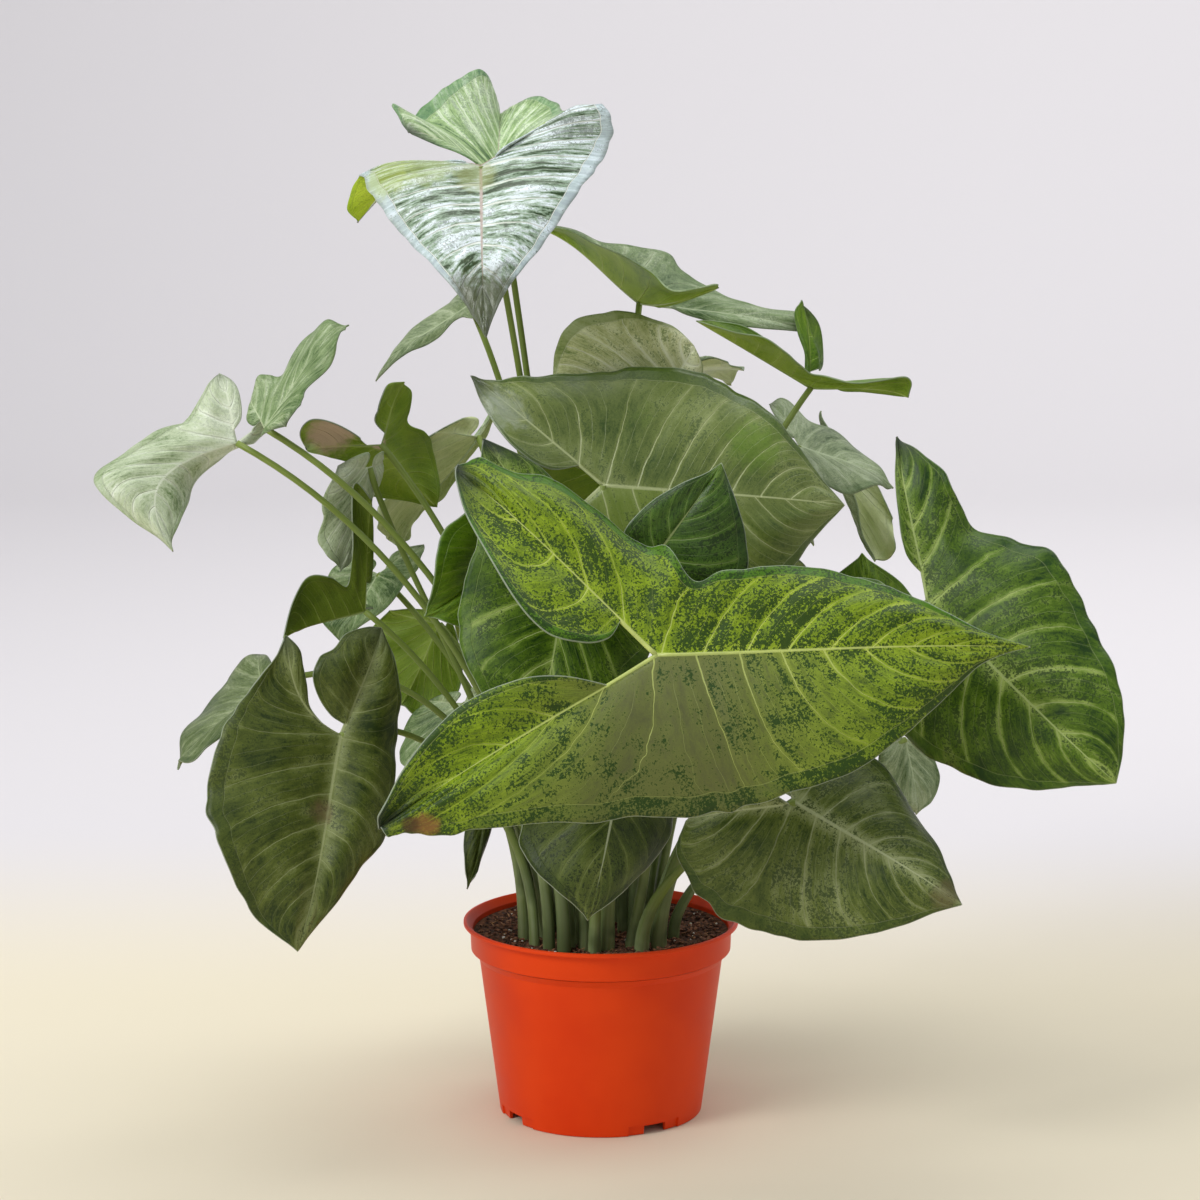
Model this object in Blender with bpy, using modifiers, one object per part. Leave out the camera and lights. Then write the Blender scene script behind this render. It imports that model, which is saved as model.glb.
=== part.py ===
"""Potted syngonium: a bushy arrowhead plant in a plastic nursery pot.

Lengths are in metres, +Z is up, and the origin is on the pot's axis at the surface it stands on.
The plant's front faces -Y. Places on the plant are written in millimetres and turned into metres
by mm().
"""
import math
from dataclasses import dataclass

import bmesh
import bpy
from mathutils import Vector

MM = 0.001

# Pot, mm
POT_HEIGHT = 92.0
RIM_RADIUS = 65.0
FOOT_RADIUS = 48.0
WALL = 1.3
BAND_BOTTOM = 77.5
BAND_RADIUS = 61.4
SHOULDER_BOTTOM = 72.5
SHOULDER_RADIUS = 57.4
FLOOR_UNDERSIDE = 4.6
FLOOR_TOP = 6.0
POT_SEGMENTS = 48
NOTCH_TURNS = (-58.0, 32.0, 122.0, 212.0)  # degrees from the front, anticlockwise from above
NOTCH_WIDTH = 11.5
NOTCH_HEIGHT = 4.0
DRAIN_RING = 27.0
DRAIN_RADIUS = 4.0
DRAIN_COUNT = 4

# Potting mix, mm
SOIL_TOP = 83.5
SOIL_CROWN = 1.5
GAP = 0.3
SOIL_SEGMENTS = 36
FREE_FROM = SOIL_TOP + SOIL_CROWN + 1.0    # height where the stalks begin to lean
BURIED = 21.0                              # length of stalk below that height

# Leaves, mm
BLADE_THICKNESS = 0.8
LOBE_ROWS = 0.42        # share of a blade's rows that lie along its lobes
STALK_SIDES_RESOLUTION = 1
STALK_STEPS = 6


def mm(point):
    """A place in millimetres as a vector in metres."""
    return Vector(point) * MM


@dataclass(frozen=True)
class Outline:
    """Half a blade, flat, in lengths of its midrib: (along, across), the join at (0, 0), the tip at (1, 0).

    outer runs from the basal lobe's tip along the outer edge to the leaf's tip, inner along the edge
    of the sinus to just short of the lobe's tip, waist is the fraction of the outer edge that lies
    opposite the join, bare is the part of the lobe's rib without blade on its inner side, and bend
    is how far the rib's middle lies off the straight line.
    """
    outer: tuple
    inner: tuple
    waist: float = 0.42
    bare: float = 0.18
    bend: tuple = (0.0, 0.0)

    def rib(self, out):
        """Place on the lobe's rib, from the join (0) to the lobe's tip (1)."""
        lobe = self.outer[0]
        lift = 4 * out * (1 - out)
        return lobe[0] * out + self.bend[0] * lift, lobe[1] * out + self.bend[1] * lift

    def sinus(self, fraction):
        """Place on the edge of the sinus, from the lobe's tip (0) to the bare rib (1)."""
        return curve_through((self.outer[0],) + self.inner[::-1] + (self.rib(self.bare),), fraction)


ARROW = Outline(
    outer=((-0.46, 0.42), (-0.36, 0.50), (-0.17, 0.50), (0.02, 0.43), (0.24, 0.41), (0.50, 0.30),
           (0.76, 0.14), (0.92, 0.04), (1.0, 0.0)),
    inner=((-0.17, 0.06), (-0.28, 0.12), (-0.39, 0.26)),
)
BROAD = Outline(
    outer=((-0.56, 0.41), (-0.44, 0.42), (-0.28, 0.45), (-0.05, 0.49), (0.16, 0.50), (0.37, 0.47),
           (0.56, 0.38), (0.74, 0.23), (0.89, 0.09), (1.0, 0.0)),
    inner=((-0.20, 0.045), (-0.33, 0.08), (-0.46, 0.21)),
    waist=0.40,
)
ROUND = Outline(
    outer=((-0.42, 0.34), (-0.36, 0.50), (-0.16, 0.60), (0.08, 0.62), (0.34, 0.57), (0.58, 0.45),
           (0.79, 0.26), (0.92, 0.09), (1.0, 0.0)),
    inner=((-0.12, 0.02), (-0.23, 0.03), (-0.36, 0.15)),
    bare=0.06,
)
NARROW = Outline(
    outer=((-0.40, 0.36), (-0.30, 0.39), (-0.14, 0.33), (0.04, 0.27), (0.26, 0.28), (0.50, 0.23),
           (0.74, 0.13), (0.90, 0.04), (1.0, 0.0)),
    inner=((-0.17, 0.09), (-0.26, 0.15), (-0.34, 0.25)),
    bare=0.25,
)
THIN_WAISTED = Outline(
    outer=((-0.40, 0.36), (-0.30, 0.42), (-0.15, 0.35), (-0.02, 0.20), (0.12, 0.10), (0.30, 0.15),
           (0.52, 0.16), (0.76, 0.10), (1.0, 0.0)),
    inner=((-0.17, 0.09), (-0.26, 0.15), (-0.34, 0.25)),
    bare=0.25,
)
STAR = Outline(
    outer=((-0.30, 0.62), (-0.16, 0.60), (-0.02, 0.46), (0.10, 0.38), (0.28, 0.42), (0.52, 0.42),
           (0.76, 0.30), (0.92, 0.10), (1.0, 0.0)),
    inner=((-0.22, 0.13), (-0.36, 0.28), (-0.41, 0.48)),
)
HUNCHED = Outline(
    outer=((-0.15, 0.62), (-0.03, 0.58), (0.05, 0.45), (0.13, 0.38), (0.30, 0.46), (0.52, 0.50),
           (0.76, 0.36), (0.91, 0.14), (1.0, 0.0)),
    inner=((-0.20, 0.12), (-0.42, 0.22), (-0.50, 0.38), (-0.38, 0.55)),
)
WIDE = Outline(
    outer=((-0.22, 0.50), (-0.10, 0.62), (0.10, 0.68), (0.33, 0.67), (0.56, 0.59), (0.75, 0.40),
           (0.87, 0.22), (0.95, 0.08), (1.0, 0.0)),
    inner=((-0.06, 0.12), (-0.12, 0.25), (-0.18, 0.38)),
    waist=0.34,
)
FULL = Outline(
    outer=((-0.58, 0.41), (-0.46, 0.40), (-0.30, 0.43), (-0.05, 0.48), (0.15, 0.51), (0.36, 0.50),
           (0.54, 0.43), (0.70, 0.30), (0.85, 0.14), (1.0, 0.0)),
    inner=((-0.24, 0.04), (-0.39, 0.11), (-0.50, 0.25)),
    waist=0.40,
)
STRAIGHT = Outline(
    outer=((-0.56, 0.41), (-0.42, 0.40), (-0.22, 0.38), (-0.02, 0.36), (0.18, 0.38), (0.38, 0.37),
           (0.58, 0.31), (0.78, 0.18), (0.92, 0.06), (1.0, 0.0)),
    inner=((-0.20, 0.045), (-0.33, 0.07), (-0.46, 0.19)),
    waist=0.40,
)
SHORT_LOBED = Outline(
    outer=((-0.22, 0.50), (-0.18, 0.60), (-0.05, 0.65), (0.10, 0.60), (0.24, 0.52), (0.40, 0.41),
           (0.60, 0.27), (0.80, 0.12), (0.93, 0.035), (1.0, 0.0)),
    inner=((-0.05, 0.12), (-0.10, 0.26), (-0.17, 0.40)),
    waist=0.34,
    bare=0.14,
)
LONG_BACKED = Outline(
    outer=((-0.49, 0.27), (-0.32, 0.295), (-0.10, 0.29), (0.05, 0.305), (0.26, 0.26), (0.43, 0.275),
           (0.63, 0.33), (0.76, 0.29), (0.85, 0.18), (0.92, 0.05), (1.0, 0.0)),
    inner=((-0.20, 0.05), (-0.36, 0.12), (-0.46, 0.19)),
    waist=0.35,
)
BLUNT = Outline(
    outer=((-0.40, 0.36), (-0.28, 0.36), (-0.12, 0.28), (0.04, 0.22), (0.15, 0.27), (0.28, 0.35),
           (0.44, 0.40), (0.64, 0.385), (0.81, 0.21), (0.93, 0.06), (1.0, 0.0)),
    inner=((-0.17, 0.09), (-0.26, 0.15), (-0.34, 0.25)),
    waist=0.35,
    bare=0.25,
)
TRAILING = Outline(
    outer=((-0.90, 0.50), (-0.78, 0.55), (-0.50, 0.42), (-0.24, 0.35), (0.02, 0.34), (0.24, 0.38),
           (0.38, 0.27), (0.54, 0.15), (0.80, 0.10), (1.0, 0.0)),
    inner=((-0.30, 0.11), (-0.50, 0.18), (-0.70, 0.31)),
    waist=0.45,
)
UPRIGHT = Outline(
    outer=((-0.15, 0.50), (-0.06, 0.44), (-0.03, 0.32), (-0.01, 0.15), (0.05, 0.06), (0.20, 0.10),
           (0.50, 0.14), (0.78, 0.08), (1.0, 0.0)),
    inner=((-0.12, 0.12), (-0.23, 0.22), (-0.27, 0.34), (-0.27, 0.45)),
    waist=0.40,
)
CRESTED = Outline(
    outer=((-0.46, 0.42), (-0.36, 0.50), (-0.17, 0.46), (0.0, 0.40), (0.20, 0.35), (0.40, 0.29),
           (0.60, 0.22), (0.80, 0.10), (1.0, 0.0)),
    inner=((-0.17, 0.06), (-0.28, 0.12), (-0.39, 0.26)),
)
FRONT_UPPER = Outline(
    outer=((-0.54, 0.50), (-0.42, 0.47), (-0.23, 0.43), (-0.05, 0.30), (0.09, 0.21), (0.22, 0.21),
           (0.38, 0.225), (0.54, 0.19), (0.66, 0.14), (0.78, 0.08), (0.90, 0.03), (1.0, 0.0)),
    inner=((-0.13, 0.04), (-0.20, 0.02), (-0.30, 0.04), (-0.40, 0.14), (-0.49, 0.33)),
    waist=0.40,
)
FRONT_LOWER = Outline(
    outer=((-0.75, 0.47), (-0.62, 0.48), (-0.44, 0.49), (-0.15, 0.465), (0.12, 0.45), (0.27, 0.42),
           (0.52, 0.33), (0.73, 0.17), (0.86, 0.05), (1.0, 0.0)),
    inner=((-0.26, 0.065), (-0.39, 0.08), (-0.53, 0.15), (-0.66, 0.30)),
    waist=0.45,
)
RIGHT_OUTER = Outline(
    outer=((-0.50, 0.38), (-0.32, 0.41), (-0.18, 0.38), (-0.04, 0.33), (0.12, 0.40), (0.27, 0.46),
           (0.42, 0.44), (0.58, 0.37), (0.73, 0.31), (0.86, 0.22), (0.95, 0.10), (1.0, 0.0)),
    inner=((-0.18, 0.08), (-0.30, 0.17), (-0.42, 0.29)),
    waist=0.34,
)
DROOP_OUTER = Outline(
    outer=((-0.40, 0.34), (-0.20, 0.41), (0.0, 0.50), (0.20, 0.55), (0.38, 0.55), (0.58, 0.48),
           (0.77, 0.34), (0.91, 0.18), (1.0, 0.0)),
    inner=((-0.10, 0.17), (-0.20, 0.21), (-0.28, 0.245), (-0.35, 0.28)),
    waist=0.34,
    bare=0.16,
    bend=(0.06, 0.06),
)
DROOP_INNER = Outline(
    outer=((-0.53, 0.20), (-0.395, 0.35), (-0.25, 0.48), (-0.12, 0.57), (0.02, 0.625), (0.16, 0.65),
           (0.33, 0.69), (0.47, 0.63), (0.60, 0.44), (0.77, 0.25), (0.90, 0.10), (1.0, 0.0)),
    inner=((-0.08, -0.12), (-0.15, -0.30), (-0.25, -0.44), (-0.33, -0.42), (-0.38, -0.30),
           (-0.46, -0.20), (-0.52, 0.05)),
    waist=0.37,
    bare=0.10,
)


@dataclass(frozen=True)
class Leaf:
    """One leaf: places in mm, shape values as fractions of its length unless a comment says mm."""
    name: str
    join: tuple           # where the stalk meets the blade
    tip: tuple
    left: tuple           # tip of the left basal lobe, seen on the upper face with the leaf's tip up
    right: tuple
    foot: tuple           # where the stalk leaves the potting mix, (x, y)
    left_outline: Outline = ARROW
    right_outline: Outline = ARROW
    arch: float = 0.06    # rise of the midrib between the join and the tip
    lobe_arch: float = 0.04
    left_drop: tuple = (0.0, 0.0, 0.0)    # mm that the left lobe's tip is bent away from its flat place
    right_drop: tuple = (0.0, 0.0, 0.0)
    sway: tuple = (0.0, 0.0, 0.0)         # mm that the middle of the midrib is moved
    fold: tuple = (0.0, 0.0)   # how far the left and right halves are turned up at the tip, radians
    puff: float = 0.10    # doming between midrib and edge
    wave: float = 0.02    # height of the waves along the edge
    waves: float = 3.0
    phase: float = 0.0
    arc: float = 0.5      # how level the stalk runs out to the join
    bow: tuple = (0.0, 0.0, 0.0)   # mm that the stalk's middle is moved
    foot_radius: float = 2.3   # mm
    top_radius: float = 1.5    # mm
    rows: int = 12
    columns: int = 2


def curve_through(points, fraction):
    """A point of the smooth line through the points, at a fraction of its way (Catmull-Rom)."""
    last = len(points) - 1
    place = min(max(fraction, 0.0), 1.0) * last
    start = min(int(place), last - 1)
    t = place - start
    before = points[max(start - 1, 0)]
    here = points[start]
    there = points[start + 1]
    after = points[min(start + 2, last)]
    return tuple(
        0.5 * (2 * h + (n - b) * t + (2 * b - 5 * h + 4 * n - a) * t * t + (3 * h - b - 3 * n + a) * t ** 3)
        for b, h, n, a in zip(before, here, there, after)
    )


class Blade:
    """The middle surface of a leaf's blade, from its own places and outlines."""

    def __init__(self, leaf):
        self.leaf = leaf
        self.join = mm(leaf.join)
        self.along = mm(leaf.tip) - self.join
        self.length = self.along.length
        self.outlines = {-1: leaf.left_outline, 1: leaf.right_outline}
        self.drop = {-1: mm(leaf.left_drop), 1: mm(leaf.right_drop)}
        self.across = {}
        for side, lobe in ((-1, leaf.left), (1, leaf.right)):
            reach, spread = self.outlines[side].outer[0]
            self.across[side] = (mm(lobe) - self.join - self.along * reach) / spread
        self.up = (self.across[1] - self.across[-1]).cross(self.along).normalized()
        self.side_up = {
            -1: self.along.cross(self.across[-1]).normalized(),
            1: self.across[1].cross(self.along).normalized(),
        }

    def spine(self, side, u):
        """Flat place on the lobe's rib and the midrib: lobe tip at u=0, join at the waist, tip at 1."""
        outline = self.outlines[side]
        if u < outline.waist:
            return outline.rib(1 - u / outline.waist)
        return (u - outline.waist) / (1 - outline.waist), 0.0

    def point(self, side, u, v):
        """Place in metres; v runs from the spine (0) to the outer edge (1) or the sinus (-1)."""
        leaf = self.leaf
        outline = self.outlines[side]
        s0, t0 = self.spine(side, u)
        if v >= 0:
            s1, t1 = curve_through(outline.outer, u)
        else:
            s1, t1 = outline.sinus(min(u / self.bare(side), 1.0))
        s = s0 + (s1 - s0) * abs(v)
        t = t0 + (t1 - t0) * abs(v)
        width = math.hypot(s1 - s0, t1 - t0)
        rise = 0.0
        bend = Vector()
        across, lift = self.across[side], self.side_up[side]
        if s > 0:
            rise += leaf.arch * 6.75 * s * s * max(1 - s, 0.0)
            bend = mm(leaf.sway) * 4 * s * (1 - s)
            turn = leaf.fold[side > 0] * s
            tilt = lift * across.length
            across = across * math.cos(turn) + tilt * math.sin(turn)
        else:
            r = min(s / outline.outer[0][0], 1.0)
            rise += leaf.lobe_arch * 6.75 * r * r * (1 - r)
            bend = self.drop[side] * r * r
        swell = leaf.puff * width * math.sin(math.pi * abs(v))
        ends = min(1.0, 6 * width)
        swell += leaf.wave * ends * abs(v) ** 3 * math.sin(math.tau * leaf.waves * u + leaf.phase + side)
        return (
            self.join + self.along * s + across * t
            + (self.up * rise + lift * swell) * self.length + bend
        )

    def bare(self, side):
        """The u of the place on the lobe's rib where the sinus edge begins."""
        outline = self.outlines[side]
        return outline.waist * (1 - outline.bare)


def between_stops(stops, row):
    """The value at a row, evenly spaced between the stops (row, value)."""
    for (first_row, first), (last_row, last) in zip(stops, stops[1:]):
        if row <= last_row:
            return first + (last - first) * (row - first_row) / (last_row - first_row)
    return stops[-1][1]


def half_blade(mesh, blade, side):
    """Add one half of a blade to the mesh: a grid laid on the surface, its spare cells removed."""
    leaf = blade.leaf
    inner = max(1, leaf.columns - 1)
    rows, columns = leaf.rows, leaf.columns + inner
    waist, bare = blade.outlines[side].waist, blade.bare(side)
    lobe_rows = round(rows * LOBE_ROWS)
    inner_rows = min(lobe_rows - 1, round(lobe_rows * bare / waist))
    stops = ((0, 0.0), (inner_rows, bare), (lobe_rows, waist), (rows, 1.0))
    grid = bmesh.ops.create_grid(mesh, x_segments=rows, y_segments=columns, size=1.0)
    spare = []
    for vertex in grid["verts"]:
        row = round((vertex.co.x + 1) / 2 * rows)
        column = round((vertex.co.y + 1) / 2 * columns) - inner
        if column < 0 and row > inner_rows:
            spare.append(vertex)
            continue
        u = between_stops(stops, row)
        v = column / leaf.columns if column >= 0 else column / inner
        vertex.co = blade.point(side, u, v)
    bmesh.ops.delete(mesh, geom=spare, context="VERTS")


def blade_mesh(leaf):
    blade = Blade(leaf)
    mesh = bmesh.new()
    half_blade(mesh, blade, -1)
    turned = list(mesh.faces)
    bmesh.ops.reverse_faces(mesh, faces=turned)
    half_blade(mesh, blade, 1)
    bmesh.ops.remove_doubles(mesh, verts=mesh.verts, dist=0.05 * MM)
    bmesh.ops.dissolve_degenerate(mesh, edges=mesh.edges, dist=0.02 * MM)
    bmesh.ops.triangulate(mesh, faces=mesh.faces)
    data = bpy.data.meshes.new(leaf.name)
    mesh.to_mesh(data)
    mesh.free()
    return data


def bezier(points, t):
    a, b, c, d = points
    return a * (1 - t) ** 3 + b * 3 * t * (1 - t) ** 2 + c * 3 * t * t * (1 - t) + d * t ** 3


def stalk_frame(leaf):
    """The four control points of the stalk's free run, which starts upright just above the mix."""
    foot = mm((leaf.foot[0], leaf.foot[1], FREE_FROM))
    join = mm(leaf.join)
    rise = join.z - foot.z
    bow = mm(leaf.bow)
    first = foot + Vector((0, 0, rise * 0.35)) + bow
    last = join.lerp(foot, leaf.arc) + bow
    last.z = join.z - rise * 0.21 + bow.z
    return foot, first, last, join


def stalk_line(leaf):
    """Points from the buried end to the join, each with the stalk's radius there."""
    control = stalk_frame(leaf)
    foot_radius, top_radius = leaf.foot_radius * MM, leaf.top_radius * MM
    line = [(mm((leaf.foot[0], leaf.foot[1], FREE_FROM - BURIED)), foot_radius)]
    for step in range(STALK_STEPS + 1):
        t = step / STALK_STEPS
        line.append((bezier(control, t), foot_radius + (top_radius - foot_radius) * t))
    return line


def tube(name, line, resolution):
    """A closed tube mesh along points with radii, made from a bevelled curve."""
    data = bpy.data.curves.new(name, "CURVE")
    data.dimensions = "3D"
    data.bevel_depth = 1.0
    data.bevel_resolution = resolution
    data.use_fill_caps = True
    spline = data.splines.new("POLY")
    spline.points.add(len(line) - 1)
    for knot, (place, radius) in zip(spline.points, line):
        knot.co = (*place, 1.0)
        knot.radius = radius
    guide = bpy.data.objects.new(name, data)
    bpy.context.scene.collection.objects.link(guide)
    bpy.context.view_layer.update()
    solid = bpy.data.meshes.new_from_object(guide.evaluated_get(bpy.context.evaluated_depsgraph_get()))
    bpy.data.objects.remove(guide)
    welded = bmesh.new()
    welded.from_mesh(solid)
    bmesh.ops.remove_doubles(welded, verts=welded.verts, dist=0.01 * MM)
    bmesh.ops.recalc_face_normals(welded, faces=welded.faces)
    welded.to_mesh(solid)
    welded.free()
    return solid


def material(name, colour, roughness, metallic=0.0):
    made = bpy.data.materials.new(name)
    made.use_nodes = True
    shader = made.node_tree.nodes["Principled BSDF"]
    shader.inputs["Base Color"].default_value = (*colour, 1.0)
    shader.inputs["Roughness"].default_value = roughness
    shader.inputs["Metallic"].default_value = metallic
    made.diffuse_color = (*colour, 1.0)
    return made


def add_object(name, data, collection, coat):
    made = bpy.data.objects.new(name, data)
    collection.objects.link(made)
    data.materials.clear()
    data.materials.append(coat)
    return made


def cut(target, cutter, operation="DIFFERENCE"):
    modifier = target.modifiers.new(cutter.name, "BOOLEAN")
    modifier.operation = operation
    modifier.object = cutter
    cutter.hide_render = True
    cutter.display_type = "WIRE"
    return modifier


def turned(name, profile, segments, collection, coat):
    """A turned solid: a closed profile in the XZ plane, carried round the Z axis by Screw."""
    mesh = bmesh.new()
    corners = [mesh.verts.new((radius * MM, 0.0, height * MM)) for radius, height in profile]
    closed = profile[0][0] > 0
    ends = corners[1:] + corners[:1] if closed else corners[1:]
    for corner, following in zip(corners, ends):
        mesh.edges.new((corner, following))
    data = bpy.data.meshes.new(name)
    mesh.to_mesh(data)
    mesh.free()
    made = add_object(name, data, collection, coat)
    screw = made.modifiers.new("turn", "SCREW")
    screw.steps = segments
    screw.render_steps = segments
    screw.use_merge_vertices = True
    screw.merge_threshold = 0.0001
    return made


def pot_profile():
    """Half section of the pot: down its outer side, under the foot and back up the inside."""
    slope = (SHOULDER_RADIUS - FOOT_RADIUS) / SHOULDER_BOTTOM
    foot_inside = FOOT_RADIUS - 2.2
    return (
        (63.6, POT_HEIGHT), (64.6, POT_HEIGHT - 0.3), (RIM_RADIUS, POT_HEIGHT - 1.1),
        (64.4, POT_HEIGHT - 1.9), (BAND_RADIUS + 0.5, POT_HEIGHT - 2.6),
        (BAND_RADIUS, BAND_BOTTOM), (SHOULDER_RADIUS, SHOULDER_BOTTOM),
        (FOOT_RADIUS + slope * 1.0, 1.0), (FOOT_RADIUS - 0.5, 0.0), (foot_inside, 0.0),
        (foot_inside - 0.3, FLOOR_UNDERSIDE), (0.0, FLOOR_UNDERSIDE),
        (0.0, FLOOR_TOP), (inside_radius(FLOOR_TOP), FLOOR_TOP),
        (SHOULDER_RADIUS - WALL, SHOULDER_BOTTOM - 0.4), (BAND_RADIUS - WALL, BAND_BOTTOM),
        (BAND_RADIUS - WALL + 0.4, POT_HEIGHT - 3.4), (62.6, POT_HEIGHT - 1.0),
    )


def inside_radius(height):
    """Radius of the pot's inside below the shoulder."""
    slope = (SHOULDER_RADIUS - FOOT_RADIUS) / SHOULDER_BOTTOM
    return FOOT_RADIUS + slope * height - WALL


def build_pot(collection, cutters):
    coat = material("orange_red_plastic", (0.78, 0.10, 0.02), 0.45)
    profile = pot_profile()
    pot = turned("pot", profile[12:] + profile[:12], POT_SEGMENTS, collection, coat)
    for turn in NOTCH_TURNS:
        angle = math.radians(turn - 90)
        bpy.ops.mesh.primitive_cube_add(size=1.0)
        notch = bpy.context.object
        notch.name = "notch_cutter"
        notch.dimensions = (16 * MM, NOTCH_WIDTH * MM, 2 * NOTCH_HEIGHT * MM)
        notch.location = mm(((FOOT_RADIUS - 1) * math.cos(angle), (FOOT_RADIUS - 1) * math.sin(angle), 0))
        notch.rotation_euler.z = angle
        move_to(notch, cutters)
        cut(pot, notch)
    for index in range(DRAIN_COUNT):
        angle = math.tau * (index + 0.5) / DRAIN_COUNT
        bpy.ops.mesh.primitive_cylinder_add(vertices=12, radius=DRAIN_RADIUS * MM, depth=10 * MM)
        drain = bpy.context.object
        drain.name = "drain_cutter"
        drain.location = mm((DRAIN_RING * math.cos(angle), DRAIN_RING * math.sin(angle), FLOOR_TOP))
        move_to(drain, cutters)
        cut(pot, drain)
    shade_round(pot.data)
    return pot


def move_to(item, collection):
    for owner in list(item.users_collection):
        owner.objects.unlink(item)
    collection.objects.link(item)


def shade_round(data):
    data.shade_smooth()
    data.set_sharp_from_angle(angle=math.radians(40))


def build_soil(collection):
    coat = material("potting_mix", (0.035, 0.018, 0.011), 0.95)
    low = FLOOR_TOP + GAP
    top = SOIL_TOP
    profile = (
        (0.0, low), (0.0, top + SOIL_CROWN), (25.0, top + SOIL_CROWN * 0.8), (45.0, top + SOIL_CROWN * 0.3),
        (BAND_RADIUS - WALL - GAP, top), (BAND_RADIUS - WALL - GAP - 0.1, BAND_BOTTOM + 0.2),
        (SHOULDER_RADIUS - WALL - GAP - 0.2, SHOULDER_BOTTOM - 0.6),
        (inside_radius(low) - GAP - 0.1, low),
    )
    soil = turned("potting_mix", profile[1:] + profile[:1], SOIL_SEGMENTS, collection, coat)
    soil.data.shade_flat()
    return soil


def build_leaf(leaf, collection, cutters, coat):
    blade = add_object(leaf.name, blade_mesh(leaf), collection, coat)
    shell = blade.modifiers.new("thickness", "SOLIDIFY")
    shell.thickness = BLADE_THICKNESS * MM
    shell.offset = 0.0
    stalk_name = leaf.name + "_stalk"
    stalk = add_object(stalk_name, tube(stalk_name, stalk_line(leaf), STALK_SIDES_RESOLUTION), cutters, coat)
    cut(blade, stalk, "UNION")
    return blade


def build_hole(leaf, cutters):
    """Cutter for the plain hole that a stalk stands in, clear of it by the gap all round."""
    sides = 8
    radius = (leaf.foot_radius + GAP) / math.cos(math.pi / sides) * MM
    bpy.ops.mesh.primitive_cylinder_add(vertices=sides, radius=radius, depth=2 * (BURIED + GAP) * MM)
    hole = bpy.context.object
    hole.name = leaf.name + "_hole"
    hole.location = mm((leaf.foot[0], leaf.foot[1], FREE_FROM))
    move_to(hole, cutters)
    return hole


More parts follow.
